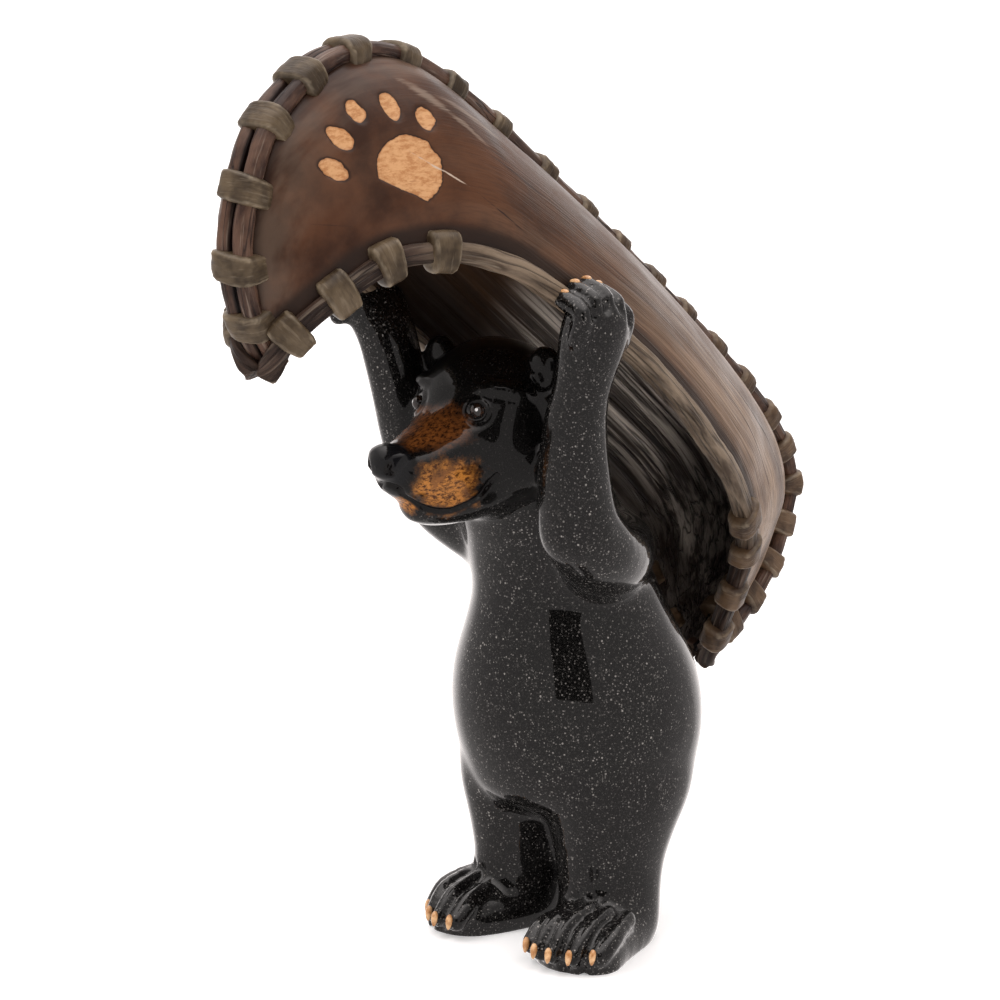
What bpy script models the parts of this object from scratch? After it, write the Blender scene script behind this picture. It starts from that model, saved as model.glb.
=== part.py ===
# A standing bear that carries a canoe upside down over its head: a painted resin figurine.
# The bear is one casting, and the canoe is a second one that is seated in its paws.
# Metres, +Z up. The bear looks along -Y, and its left side is +X.
import math

import bmesh
import bpy
from mathutils import Matrix, Vector

# Driving sizes, in metres and radians.
figure_height = 0.240        # the bear's own scale: its pose and carving are shares of this
seat_gap = 0.0004            # clearance between the two castings where they meet
canoe_length = 0.2424        # stem to stem, over the lashings
canoe_depth = 0.0970         # from the level of the tips up to the top of the keel lashings
canoe_beam = 0.0760          # across the gunwales at the middle
canoe_pitch = math.radians(33.9)   # how far the bow is raised
hull_wall = 0.0030           # thickness of the hull
stick_radius = 0.0026        # the two sticks sewn along stems and keel
stick_spread = 0.0024        # from the middle plane to each stick's centre
rail_radius = 0.0027         # the rail along each gunwale
lash_width = 0.0070          # length of a lashing along its stick
lash_thickness = 0.0011      # how far a lashing stands proud of its stick
stem_grip = 0.0090           # how far a stem lashing reaches down the hull
keel_grip = 0.0030           # how far a keel lashing reaches down the hull
rail_grip = 0.0014           # how much further a rail lashing reaches up the hull, and hangs down
stem_lash_count = 23         # lashings along stems and keel together
rail_lash_count = 4          # lashings at each end of each gunwale
rail_lash_pitch = 0.0142     # distance between them
first_rail_lash = 0.0125     # from a tip to the middle of the first of them
print_depth = 0.0007         # how deep the paw print is carved
toe_claw_length = 0.0046
toe_claw_radius = 0.0014
finger_claw_length = 0.0032
finger_claw_radius = 0.0010
mouth_half_width = 0.0005    # of the line between the lips
mouth_depth = 0.0018         # how far that line is cut in from where it is drawn
nostril_radius = 0.0015

# How finely the castings are built.
mass_voxel = 0.0024          # first pass, for the big masses
mass_smoothing = 8
carving_voxel = 0.0014       # second pass, with toes, fingers and face
carving_smoothing = 2
bear_faces = 3000            # triangles kept on the bear's body
hull_stations = 21
hull_steps = 4               # steps from a gunwale to the keel
stem_sides = 8
rail_sides = 6
heel_pad_corners = 12
toe_pad_corners = 6
chain_links = 4              # masses from one place of a chain to the next
distance_steps = 600         # steps in which a curve's length is measured
longest_span = 0.0160        # longest plain piece of a rod between two rings
band_edge_run = 0.00002      # run of the steep edge of a lashing
print_cutter_rise = 0.0012   # how far the print's cutter stands out of the hull
flat_angle = math.radians(0.5)   # faces closer to one plane than this are merged
keel_step = 0.02             # stations to each side, for the keel line's direction
rail_step = 0.05             # stations to each side, for a rail's direction
rail_climb = 0.25            # share of the way up the hull, for the side a rail faces
print_step = 0.1             # stations onwards, for the direction along a pad
print_climb = 0.05           # share of the way onwards, for the direction up a pad
strap_squareness = 0.7       # below 1 squares a lashing's sides
strap_flatness = 0.8         # below 1 flattens its outer face
narrow_reach = 1.6           # how soon the stem lashings reach their full grip towards the tips
nostril_stretch = 1.6        # a nostril's depth, as a share of its width
claw_sides = 6

# The canoe lies in its own frame: along (bow positive) and up, with its tips near the bottom.
# Outlines run from the bow's tip to the stern's tip, as shares of canoe_length and canoe_depth.
# Each point of the gunwale faces the same point of the keel line across one section.
keel_outline = (
    (0.366, 0.050), (0.430, 0.123), (0.481, 0.267), (0.508, 0.493), (0.497, 0.670), (0.467, 0.818),
    (0.401, 0.939), (0.288, 0.996), (0.030, 0.994), (-0.218, 0.971), (-0.373, 0.927), (-0.456, 0.830),
    (-0.480, 0.693), (-0.488, 0.535), (-0.469, 0.339), (-0.429, 0.172),
)
# Share of half the beam, then along and up.
gunwale_outline = (
    (0.055, 0.366, 0.045), (0.205, 0.383, 0.121), (0.356, 0.375, 0.245), (0.493, 0.347, 0.397),
    (0.589, 0.318, 0.468), (0.664, 0.294, 0.506), (0.753, 0.256, 0.540), (0.856, 0.202, 0.560),
    (1.000, 0.035, 0.562), (0.918, -0.144, 0.524), (0.740, -0.254, 0.486), (0.582, -0.315, 0.434),
    (0.452, -0.347, 0.360), (0.315, -0.376, 0.273), (0.171, -0.406, 0.203), (0.055, -0.426, 0.174),
)
last_station = len(keel_outline) - 1
first_hull_station = 0.45    # the hull stops inside the sewn tips
# A section is a narrow V at the tips and a full round one in the middle.
fullness_power = 0.8         # how soon the sections fill out from the tips
side_power = 0.85            # below 1 gives a fuller side
bottom_power = 1.05          # above 1 gives a flatter bottom
stem_thickening = 1.4        # how much more wall there is at the tips
deepest_wall = 0.8           # most of the way from gunwale to keel that the wall may fill
narrowest_inside = 0.3       # least share of the outer width that the inside keeps
# The canoe's own origin, as shares of figure_height back from the bear's middle and up.
canoe_origin_back = -0.049
canoe_origin_up = 0.446
hold_station = 7.35          # where along the outlines a paw holds the gunwale

# The paw print on each side of the bow: station, share of the way from gunwale to keel,
# half its length towards the keel, half its width, and its lean from that direction.
print_pads = (
    (4.77, 0.334, 0.0082, 0.0085, math.radians(-37)),
    (3.42, 0.520, 0.0038, 0.0021, math.radians(23)),
    (3.91, 0.608, 0.0036, 0.0021, math.radians(12)),
    (4.48, 0.651, 0.0031, 0.0019, math.radians(2)),
    (5.14, 0.603, 0.0036, 0.0021, math.radians(8)),
    (5.62, 0.528, 0.0030, 0.0025, math.radians(15)),
)
heel_pad_flat = 0.72         # share of its half length at which the big pad is cut straight

# The bear, in shares of figure_height. A chain is a run of soft masses, each with its
# middle (x, y, z) and its half sizes across, along y and up.
torso_chain = (
    (0.000, 0.134, 0.188, 0.128, 0.128, 0.060), (0.000, 0.131, 0.228, 0.138, 0.138, 0.060),
    (0.000, 0.127, 0.267, 0.139, 0.140, 0.060), (0.000, 0.122, 0.305, 0.132, 0.133, 0.055),
    (0.000, 0.114, 0.350, 0.113, 0.117, 0.050), (0.000, 0.108, 0.385, 0.102, 0.105, 0.050),
    (0.000, 0.096, 0.420, 0.098, 0.098, 0.050), (0.000, 0.080, 0.455, 0.094, 0.092, 0.050),
    (0.000, 0.055, 0.495, 0.084, 0.088, 0.055), (0.000, 0.030, 0.540, 0.080, 0.085, 0.060),
)
skull_chain = (
    (0.000, -0.008, 0.590, 0.086, 0.086, 0.086), (0.000, -0.030, 0.575, 0.080, 0.072, 0.072),
)
muzzle_chain = (
    (0.000, -0.060, 0.566, 0.058, 0.050, 0.050), (0.000, -0.095, 0.557, 0.050, 0.044, 0.044),
    (0.000, -0.125, 0.550, 0.043, 0.037, 0.037), (0.000, -0.150, 0.549, 0.036, 0.028, 0.031),
)
jaw_chain = (
    (0.000, -0.045, 0.522, 0.055, 0.045, 0.036), (0.000, -0.085, 0.511, 0.042, 0.035, 0.027),
    (0.000, -0.118, 0.508, 0.031, 0.026, 0.021),
)
cheek_chain = (
    (0.050, -0.015, 0.555, 0.042, 0.048, 0.048),
)
thigh_chain = (
    (0.060, 0.130, 0.215, 0.066, 0.108, 0.050), (0.064, 0.127, 0.172, 0.068, 0.098, 0.050),
    (0.062, 0.119, 0.125, 0.062, 0.078, 0.040), (0.061, 0.114, 0.085, 0.056, 0.066, 0.036),
    (0.063, 0.112, 0.050, 0.054, 0.061, 0.034), (0.065, 0.110, 0.016, 0.053, 0.060, 0.034),
)
left_foot_chain = (
    (0.068, 0.100, 0.014, 0.053, 0.058, 0.046), (0.080, 0.055, 0.013, 0.055, 0.048, 0.046),
    (0.093, 0.022, 0.010, 0.055, 0.040, 0.042),
)
right_foot_chain = (
    (-0.066, 0.102, 0.014, 0.053, 0.058, 0.046), (-0.075, 0.060, 0.013, 0.052, 0.048, 0.046),
    (-0.082, 0.032, 0.010, 0.048, 0.040, 0.042),
)
left_arm_chain = (
    (0.070, 0.090, 0.440, 0.055, 0.060, 0.052), (0.100, 0.055, 0.445, 0.050, 0.052, 0.048),
    (0.122, 0.010, 0.462, 0.046, 0.046, 0.044), (0.128, -0.022, 0.488, 0.043, 0.044, 0.044),
)
right_arm_chain = (
    (-0.070, 0.092, 0.445, 0.055, 0.060, 0.052), (-0.090, 0.065, 0.458, 0.048, 0.050, 0.046),
    (-0.104, 0.030, 0.482, 0.043, 0.044, 0.042), (-0.108, 0.005, 0.510, 0.040, 0.041, 0.042),
)
# The forearm: share of the way from the elbow to the hold, then out and back from that line,
# then half sizes across, along y and up.
left_forearm_chain = (
    (0.00, 0.000, 0.000, 0.042, 0.044, 0.042), (0.25, -0.001, -0.004, 0.038, 0.040, 0.036),
    (0.48, 0.002, -0.004, 0.033, 0.035, 0.032), (0.63, 0.010, -0.002, 0.029, 0.032, 0.028),
    (0.77, 0.015, 0.004, 0.031, 0.037, 0.028), (0.89, 0.018, 0.011, 0.032, 0.043, 0.028),
    (0.96, 0.018, 0.015, 0.030, 0.041, 0.025),
)
right_forearm_chain = (
    (0.00, 0.000, 0.000, 0.040, 0.042, 0.042), (0.25, -0.004, -0.004, 0.038, 0.040, 0.036),
    (0.48, -0.006, -0.004, 0.034, 0.036, 0.032), (0.63, -0.004, -0.002, 0.032, 0.034, 0.028),
    (0.77, -0.001, 0.004, 0.031, 0.036, 0.028), (0.89, 0.011, 0.011, 0.030, 0.042, 0.028),
    (0.96, 0.015, 0.015, 0.029, 0.040, 0.025),
)
nose_chain = (
    (0.000, -0.168, 0.570, 0.028, 0.018, 0.015), (0.000, -0.174, 0.558, 0.022, 0.015, 0.019),
)
ear_chain = (
    (0.074, -0.012, 0.648, 0.022, 0.013, 0.024),
)
brow_chain = (
    (0.020, -0.070, 0.622, 0.016, 0.016, 0.012), (0.044, -0.066, 0.632, 0.020, 0.014, 0.010),
    (0.066, -0.042, 0.622, 0.014, 0.016, 0.012),
)
mouth_line = (
    (0.000, -0.172, 0.528), (0.014, -0.162, 0.524), (0.020, -0.140, 0.512), (0.030, -0.118, 0.506),
    (0.038, -0.096, 0.511), (0.045, -0.079, 0.522), (0.054, -0.067, 0.538),
)
nostril_middle = (0.016, -0.186, 0.555)
eye_middle = (0.041, -0.082, 0.608)
eye_radius = 0.0105
# Front ends of the five toes: x and y, then the height of the knuckle behind each.
left_toe_ends = (
    (0.057, -0.010, 0.044), (0.077, -0.020, 0.051), (0.098, -0.021, 0.053),
    (0.119, -0.012, 0.050), (0.137, 0.006, 0.043),
)
right_toe_ends = (
    (-0.056, -0.010, 0.044), (-0.076, -0.012, 0.050), (-0.094, -0.002, 0.051),
    (-0.110, 0.014, 0.048), (-0.122, 0.034, 0.042),
)
toe_radius = 0.0125
toe_length = 0.060
toe_front_height = 0.021
toe_knuckle_back = 0.020     # from a toe's front end back to its knuckle
toe_knuckle_drop = 0.008     # how far the knuckle is below the top of the foot
foot_middle = 0.086          # the toes gather towards this, out from the middle plane
toe_gather = 0.72            # share of the spread that is left where they gather
toe_claw_rise = 0.010        # how far above the toe's front end its claw starts
toe_claw_way = Vector((0.0, -0.15, -1.0)).normalized()
# The five fingers: back from the hold, and how high the knuckle stands over the hold.
finger_places = (
    (-0.022, 0.004), (-0.005, 0.013), (0.013, 0.015), (0.030, 0.009), (0.044, -0.004),
)
finger_radius = 0.0105
# Along a finger: out from the hold, and up from the knuckle's height.
finger_path = ((0.024, -0.036), (0.030, -0.008), (0.006, 0.004))
finger_claw_start = (0.012, 0.012)   # out from the hold, and up from the knuckle's height
finger_claw_way = Vector((-1.0, -0.2, 0.05)).normalized()
claw_taper = 0.35            # a claw's blunt end, as a share of its base
claw_sink = 0.85             # share of the toe's radius at which its claw starts


def spline(points, at):
    """The values at a fractional index on a smooth curve through the points."""
    if len(points) == 1:
        return tuple(points[0])
    index = min(max(int(math.floor(at)), 0), len(points) - 2)
    t = at - index
    around = [points[min(max(k, 0), len(points) - 1)] for k in range(index - 1, index + 3)]
    values = []
    for before, start, end, after in zip(*around):
        into = (end - before) / 2
        out = (after - start) / 2
        values.append(start * (2 * t**3 - 3 * t**2 + 1) + into * (t**3 - 2 * t**2 + t)
                      + end * (3 * t**2 - 2 * t**3) + out * (t**3 - t**2))
    return tuple(values)


def material(name, colour, roughness):
    mat = bpy.data.materials.new(name)
    mat.use_nodes = True
    shader = mat.node_tree.nodes["Principled BSDF"]
    shader.inputs["Base Color"].default_value = (*colour, 1.0)
    shader.inputs["Roughness"].default_value = roughness
    return mat


def add_object(name, bm, collection):
    bmesh.ops.recalc_face_normals(bm, faces=bm.faces)
    mesh = bpy.data.meshes.new(name)
    bm.to_mesh(mesh)
    bm.free()
    obj = bpy.data.objects.new(name, mesh)
    collection.objects.link(obj)
    return obj


def freeze(obj):
    """Replaces the object's mesh with what its modifiers make of it."""
    bpy.context.view_layer.update()
    evaluated = obj.evaluated_get(bpy.context.evaluated_depsgraph_get())
    mesh = bpy.data.meshes.new_from_object(evaluated)
    obj.modifiers.clear()
    obj.data = mesh


def boolean(obj, other, operation):
    modifier = obj.modifiers.new(operation.lower(), "BOOLEAN")
    modifier.solver = "EXACT"
    modifier.object = other
    modifier.operation = operation
    freeze(obj)


def merge_flat_faces(obj):
    """Joins the flat fragments that cuts leave, and splits the faces into triangles again."""
    merge = obj.modifiers.new("merge_flat", "DECIMATE")
    merge.decimate_type = "DISSOLVE"
    merge.angle_limit = flat_angle
    obj.modifiers.new("triangles", "TRIANGULATE")
    freeze(obj)


def soften(obj, voxel, rounds):
    """Runs the object's masses together and smooths where they meet."""
    remesh = obj.modifiers.new("run_together", "REMESH")
    remesh.mode = "VOXEL"
    remesh.voxel_size = voxel
    smooth = obj.modifiers.new("smooth", "SMOOTH")
    smooth.factor = 0.5
    smooth.iterations = round(rounds)
    freeze(obj)


def canoe_to_figure(point):
    """From the canoe's frame (across, along, up) to the figure's."""
    across, along, up = point
    back = canoe_origin_back * figure_height - along * math.cos(canoe_pitch) + up * math.sin(canoe_pitch)
    height = canoe_origin_up * figure_height + along * math.sin(canoe_pitch) + up * math.cos(canoe_pitch)
    return Vector((across, back, height))


def outline_at(station):
    along, up = spline(keel_outline, station)
    return Vector((0.0, along * canoe_length, up * canoe_depth))


def outward_at(station):
    """The keel line's outward direction, in the middle plane."""
    run = outline_at(min(station + keel_step, last_station)) - outline_at(max(station - keel_step, 0))
    return Vector((0.0, run.z, -run.y)).normalized()


def keel_at(station):
    """The keel line, midway between the two sewn sticks."""
    return outline_at(station) - outward_at(station) * (stick_radius + lash_thickness)


def gunwale_at(station, side=1):
    across, along, up = spline(gunwale_outline, station)
    return Vector((side * across * canoe_beam / 2, along * canoe_length, up * canoe_depth))


def fullness_at(station):
    """1 where a section is round, 0 where it is a narrow V at the ends."""
    return min(max(spline(gunwale_outline, station)[0], 0.0), 1.0) ** fullness_power


def hull_point(station, climb, side=1, wall=0.0):
    """A point on the hull's outside, or on its inside when wall is its thickness."""
    full = fullness_at(station)
    gunwale = gunwale_at(station)
    keel = keel_at(station)
    half = gunwale.x
    if wall:
        reach = (keel - Vector((0, gunwale.y, gunwale.z))).length
        stem_wall = wall * (1 + stem_thickening * (1 - full))
        keel = keel - outward_at(station) * min(stem_wall, deepest_wall * reach)
        half = max(half - wall, narrowest_inside * half)
    turn = climb * math.pi / 2
    width = (1 - full) * (1 - climb) + full * math.cos(turn) ** side_power
    rise = (1 - full) * climb + full * math.sin(turn) ** bottom_power
    return Vector((side * half * width,
                   gunwale.y + (keel.y - gunwale.y) * rise,
                   gunwale.z + (keel.z - gunwale.z) * rise))


def skin(bm, rings):
    """Faces between rings of equally many points, closed at both ends."""
    loops = [[bm.verts.new(point) for point in ring] for ring in rings]
    sides = len(loops[0])
    for near, far in zip(loops, loops[1:]):
        for k in range(sides):
            bm.faces.new((near[k], near[(k + 1) % sides], far[(k + 1) % sides], far[k]))
    for loop in (loops[0], loops[-1]):
        for k in range(sides // 2 - 1):
            bm.faces.new((loop[k], loop[k + 1], loop[sides - 2 - k], loop[sides - 1 - k]))
    bmesh.ops.triangulate(bm, faces=bm.faces)


def build_hull(name, collection, swell=0.0):
    """The open shell. A swell thickens it on both faces, for the cutter."""
    bm = bmesh.new()
    climbs = [k / hull_steps for k in range(hull_steps + 1)]
    rings = []
    for number in range(hull_stations + 1):
        span = last_station - 2 * first_hull_station
        station = first_hull_station + span * number / hull_stations
        outer = [hull_point(station, c, 1) for c in climbs]
        outer += [hull_point(station, c, -1) for c in reversed(climbs[:-1])]
        inner = [hull_point(station, c, -1, hull_wall) for c in climbs]
        inner += [hull_point(station, c, 1, hull_wall) for c in reversed(climbs[:-1])]
        rings.append([canoe_to_figure(p) for p in outer + inner])
    skin(bm, rings)
    if swell:
        bmesh.ops.recalc_face_normals(bm, faces=bm.faces)
        bm.normal_update()
        for vert, normal in [(v, v.normal.copy()) for v in bm.verts]:
            vert.co += normal * swell
    return add_object(name, bm, collection)


def even_stations(curve):
    """A function from distance along a curve to its station, and the curve's whole length."""
    step = last_station / distance_steps
    travelled = [0.0]
    points = [curve(step * k) for k in range(distance_steps + 1)]
    for near, far in zip(points, points[1:]):
        travelled.append(travelled[-1] + (far - near).length)

    def station_at(distance):
        for k in range(distance_steps):
            if travelled[k + 1] >= distance:
                gap = travelled[k + 1] - travelled[k]
                return step * (k + max(distance - travelled[k], 0.0) / gap)
        return last_station

    return station_at, travelled[-1]


def paired_sticks_section(swell):
    """Two touching round sticks, as (across, outward) points."""
    section = []
    for k in range(stem_sides):
        angle = 2 * math.pi * (k + 0.5) / stem_sides
        side = 1 if math.cos(angle) > 0 else -1
        radius = stick_radius + swell
        section.append((side * stick_spread + radius * math.cos(angle), radius * math.sin(angle)))
    return section


def strap_section(sides, half_width, outside, inside, swell):
    """A lashing's rounded outline, reaching further on one side than the other."""
    section = []
    for k in range(sides):
        angle = 2 * math.pi * (k + 0.5) / sides
        out = math.sin(angle)
        reach = outside if out > 0 else inside
        across = math.cos(angle)
        section.append(((half_width + swell) * math.copysign(abs(across) ** strap_squareness, across),
                        (reach + swell) * math.copysign(abs(out) ** strap_flatness, out)))
    return section


def banded_rod(name, collection, curve, frame_at, plain_section, band_section, centres, swell):
    """A rod along a curve whose outline steps up to a band at each centre."""
    station_at, length = even_stations(curve)
    half = lash_width / 2 + swell
    cuts = [(0.0, plain_section)]
    for centre in centres:
        cuts += [(centre - half, plain_section), (centre - half + band_edge_run, band_section)]
        cuts += [(centre + half, band_section), (centre + half + band_edge_run, plain_section)]
    cuts.append((length, plain_section))
    rows = [cuts[0]]
    for cut in cuts[1:]:
        start, section = rows[-1]
        gap = cut[0] - start
        parts = int(gap // longest_span)
        rows += [(start + gap * (k + 1) / (parts + 1), section) for k in range(parts)]
        rows.append(cut)
    bm = bmesh.new()
    rings = []
    for distance, section in rows:
        station = station_at(distance)
        across, outward = frame_at(station)
        rings.append([canoe_to_figure(curve(station) + across * a + outward * b)
                      for a, b in section(station)])
    skin(bm, rings)
    return add_object(name, bm, collection)


def build_stem_rod(name, collection, swell=0.0):
    def frame_at(station):
        return Vector((1.0, 0.0, 0.0)), outward_at(station)

    def plain(station):
        return paired_sticks_section(swell)

    def band(station):
        narrow = 1 - fullness_at(station)
        grip = keel_grip + (stem_grip - keel_grip) * min(1.0, narrow_reach * narrow)
        return strap_section(stem_sides, stick_spread + stick_radius + lash_thickness,
                             stick_radius + lash_thickness, grip, swell)

    length = even_stations(keel_at)[1]
    pitch = (length - 2 * lash_width) / (stem_lash_count - 1)
    centres = [lash_width + pitch * k for k in range(stem_lash_count)]
    return banded_rod(name, collection, keel_at, frame_at, plain, band, centres, swell)


def build_rail(name, collection, side, swell=0.0):
    def curve(station):
        return gunwale_at(station, side)

    def frame_at(station):
        run = curve(min(station + rail_step, last_station)) - curve(max(station - rail_step, 0))
        run.normalize()
        climb = hull_point(station, rail_climb, side) - curve(station)
        climb -= run * climb.dot(run)
        climb.normalize()
        return run.cross(climb), climb

    def plain(station):
        return strap_section(rail_sides, rail_radius, rail_radius, rail_radius, swell)

    def band(station):
        wide = rail_radius + lash_thickness
        return strap_section(rail_sides, wide, wide + rail_grip, wide + rail_grip, swell)

    length = even_stations(curve)[1]
    centres = [first_rail_lash + rail_lash_pitch * k for k in range(rail_lash_count)]
    centres += [length - c for c in reversed(centres)]
    return banded_rod(name, collection, curve, frame_at, plain, band, centres, swell)


def build_print_cutter(name, collection, side):
    """Shallow pads that follow the hull, to be carved into one side of the bow."""
    bm = bmesh.new()
    for number, (station, climb, half_long, half_wide, lean) in enumerate(print_pads):
        heel_pad = number == 0
        corners = heel_pad_corners if heel_pad else toe_pad_corners
        middle = hull_point(station, climb, side)
        along = (hull_point(station + print_step, climb, side) - middle).normalized()
        across = hull_point(station, climb + print_climb, side) - middle
        across = (across - along * across.dot(along)).normalized()
        normal = along.cross(across)
        if normal.x * side < 0:
            normal.negate()
        long_way = across * math.cos(lean) - along * math.sin(lean)
        wide_way = along * math.cos(lean) + across * math.sin(lean)
        rings = []
        for depth in (print_cutter_rise, -print_depth):
            ring = []
            for k in range(corners):
                angle = 2 * math.pi * k / corners
                rise = math.sin(angle)
                if heel_pad:
                    rise = max(rise, -heel_pad_flat)
                ring.append(canoe_to_figure(middle + wide_way * half_wide * math.cos(angle)
                                            + long_way * half_long * rise + normal * depth))
            rings.append(ring)
        skin(bm, rings)
    return add_object(name, bm, collection)


def build_canoe(collection, cutters):
    canoe = build_hull("canoe", collection)
    for side in (1, -1):
        boolean(canoe, build_print_cutter(f"print_cutter_{side}", cutters, side), "DIFFERENCE")
    boolean(canoe, build_stem_rod("stem_rod", cutters), "UNION")
    for side in (1, -1):
        boolean(canoe, build_rail(f"rail_{side}", cutters, side), "UNION")
    merge_flat_faces(canoe)
    canoe.data.materials.append(material("bark_brown", (0.105, 0.052, 0.030), 0.5))
    return canoe


def add_mass(bm, values, detail):
    """One soft mass: a stretched ball, from its middle and half sizes in shares of the height."""
    made = bmesh.ops.create_icosphere(bm, subdivisions=detail, radius=1.0)
    middle = Vector(values[:3]) * figure_height
    half_sizes = Vector(values[3:]) * figure_height
    bmesh.ops.transform(bm, matrix=Matrix.Translation(middle) @ Matrix.Diagonal((*half_sizes, 1.0)),
                        verts=made["verts"])


def add_chain(bm, chain, sides=(1,), detail=3):
    """Masses run smoothly through a chain, on each of the sides."""
    for side in sides:
        for k in range((len(chain) - 1) * chain_links + 1):
            x, y, z, *half_sizes = spline(chain, k / chain_links)
            add_mass(bm, (side * x, y, z, *half_sizes), detail)


def hold_place(side):
    """Where a paw holds the gunwale, in shares of the height."""
    return canoe_to_figure(gunwale_at(hold_station, side)) / figure_height


def forearm_links(side, upper_arm, forearm):
    """The forearm's masses, strung between the elbow and the hold."""
    hold = hold_place(side)
    elbow = Vector(upper_arm[-1][:3])
    links = []
    for reach, out, back, *half_sizes in forearm:
        place = elbow.lerp(hold, reach) + Vector((side * out, back, 0))
        links.append((*place, *half_sizes))
    return links


def toe_links(end):
    """A toe from the top of the foot to its rounded front end."""
    x, y, knuckle = end
    middle = math.copysign(foot_middle, x)
    inner = middle + toe_gather * (x - middle)
    size = (toe_radius,) * 3
    return ((inner, y + toe_length, knuckle, *size),
            (x, y + toe_knuckle_back, knuckle - toe_knuckle_drop, *size),
            (x, y, toe_front_height, *size))


def finger_links(side, place):
    """A finger from the back of the paw over the top of it to the hull."""
    back, above = place
    hold = hold_place(side)
    size = (finger_radius,) * 3
    return [(hold.x + side * out, hold.y + back, hold.z + above + up, *size) for out, up in finger_path]


def claw(bm, base, direction, length, radius):
    """A claw that tapers to a blunt end."""
    made = bmesh.ops.create_cone(bm, cap_ends=True, segments=claw_sides, radius1=radius,
                                 radius2=radius * claw_taper, depth=length)
    turn = direction.to_track_quat("Z", "Y").to_matrix().to_4x4()
    bmesh.ops.transform(bm, matrix=Matrix.Translation(base + direction * length / 2) @ turn,
                        verts=made["verts"])


def build_claws(name, collection):
    bm = bmesh.new()
    for x, y, knuckle in left_toe_ends + right_toe_ends:
        base = Vector((x, y - claw_sink * toe_radius, toe_front_height + toe_claw_rise)) * figure_height
        claw(bm, base, toe_claw_way, toe_claw_length, toe_claw_radius)
    out, up = finger_claw_start
    for side in (1, -1):
        hold = hold_place(side)
        way = Vector((side * finger_claw_way.x, finger_claw_way.y, finger_claw_way.z))
        for back, above in finger_places:
            base = Vector((hold.x + side * out, hold.y + back, hold.z + above + up)) * figure_height
            claw(bm, base, way, finger_claw_length, finger_claw_radius)
    return add_object(name, bm, collection)


def build_face_cutter(name, collection):
    """The line between the lips as a bent rod, and the two nostrils."""
    bm = bmesh.new()
    path = [(-x, y, z) for x, y, z in reversed(mouth_line[1:])] + list(mouth_line)
    rings = []
    for k, point in enumerate(path):
        run = Vector(path[min(k + 1, len(path) - 1)]) - Vector(path[max(k - 1, 0)])
        across = run.cross(Vector((0.0, 0.0, 1.0))).normalized()
        over = across.cross(run).normalized()
        middle = Vector(point) * figure_height
        rings.append([middle + across * a * mouth_depth + over * b * mouth_half_width
                      for a, b in ((1, 0), (0, 1), (-1, 0), (0, -1))])
    skin(bm, rings)
    radius = nostril_radius / figure_height
    for side in (1, -1):
        x, y, z = nostril_middle
        add_mass(bm, (side * x, y, z, radius, radius * nostril_stretch, radius), 1)
    return add_object(name, bm, collection)


def build_eyes(name, collection):
    bm = bmesh.new()
    for side in (1, -1):
        x, y, z = eye_middle
        add_mass(bm, (side * x, y, z, eye_radius, eye_radius, eye_radius), 1)
    return add_object(name, bm, collection)


def build_ground_cutter(name, collection):
    """A block whose top is the ground."""
    reach = figure_height
    bm = bmesh.new()
    bmesh.ops.create_cube(bm, size=2 * reach)
    bmesh.ops.translate(bm, verts=bm.verts, vec=(0, 0, -reach))
    return add_object(name, bm, collection)


def keep_largest(obj):
    """Drops the small pieces that a cut leaves loose."""
    bm = bmesh.new()
    bm.from_mesh(obj.data)
    left = set(bm.verts)
    islands = []
    while left:
        island = set()
        ahead = [left.pop()]
        while ahead:
            vert = ahead.pop()
            island.add(vert)
            for edge in vert.link_edges:
                other = edge.other_vert(vert)
                if other in left:
                    left.remove(other)
                    ahead.append(other)
        islands.append(island)
    largest = max(islands, key=len)
    bmesh.ops.delete(bm, geom=[v for v in bm.verts if v not in largest], context="VERTS")
    bm.to_mesh(obj.data)
    bm.free()


def build_bear(collection, cutters):
    bm = bmesh.new()
    for chain in (torso_chain, skull_chain, muzzle_chain, jaw_chain, left_foot_chain, right_foot_chain):
        add_chain(bm, chain)
    for chain in (cheek_chain, thigh_chain):
        add_chain(bm, chain, (1, -1))
    for side, upper_arm, forearm in ((1, left_arm_chain, left_forearm_chain),
                                     (-1, right_arm_chain, right_forearm_chain)):
        add_chain(bm, upper_arm)
        add_chain(bm, forearm_links(side, upper_arm, forearm))
    bear = add_object("bear", bm, collection)
    soften(bear, mass_voxel, mass_smoothing)

    bm = bmesh.new()
    bm.from_mesh(bear.data)
    add_chain(bm, nose_chain, detail=2)
    for chain in (ear_chain, brow_chain):
        add_chain(bm, chain, (1, -1), detail=2)
    for end in left_toe_ends + right_toe_ends:
        add_chain(bm, toe_links(end), detail=2)
    for side in (1, -1):
        for place in finger_places:
            add_chain(bm, finger_links(side, place), detail=2)
    bm.to_mesh(bear.data)
    bm.free()
    soften(bear, carving_voxel, carving_smoothing)
    fewer = bear.modifiers.new("fewer_faces", "DECIMATE")
    fewer.ratio = bear_faces / sum(len(face.vertices) - 2 for face in bear.data.polygons)
    freeze(bear)

    boolean(bear, build_claws("claws", cutters), "UNION")
    boolean(bear, build_eyes("eyes", cutters), "UNION")
    boolean(bear, build_face_cutter("face_cutter", cutters), "DIFFERENCE")
    boolean(bear, build_ground_cutter("ground_cutter", cutters), "DIFFERENCE")
    seats = [build_hull("hull_seat", cutters, seat_gap), build_stem_rod("stem_seat", cutters, seat_gap)]
    seats += [build_rail(f"rail_seat_{side}", cutters, side, seat_gap) for side in (1, -1)]
    for seat in seats:
        boolean(bear, seat, "DIFFERENCE")
    keep_largest(bear)
    merge_flat_faces(bear)
    bear.data.materials.clear()
    bear.data.materials.append(material("gloss_black", (0.012, 0.012, 0.013), 0.12))
    return bear


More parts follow.
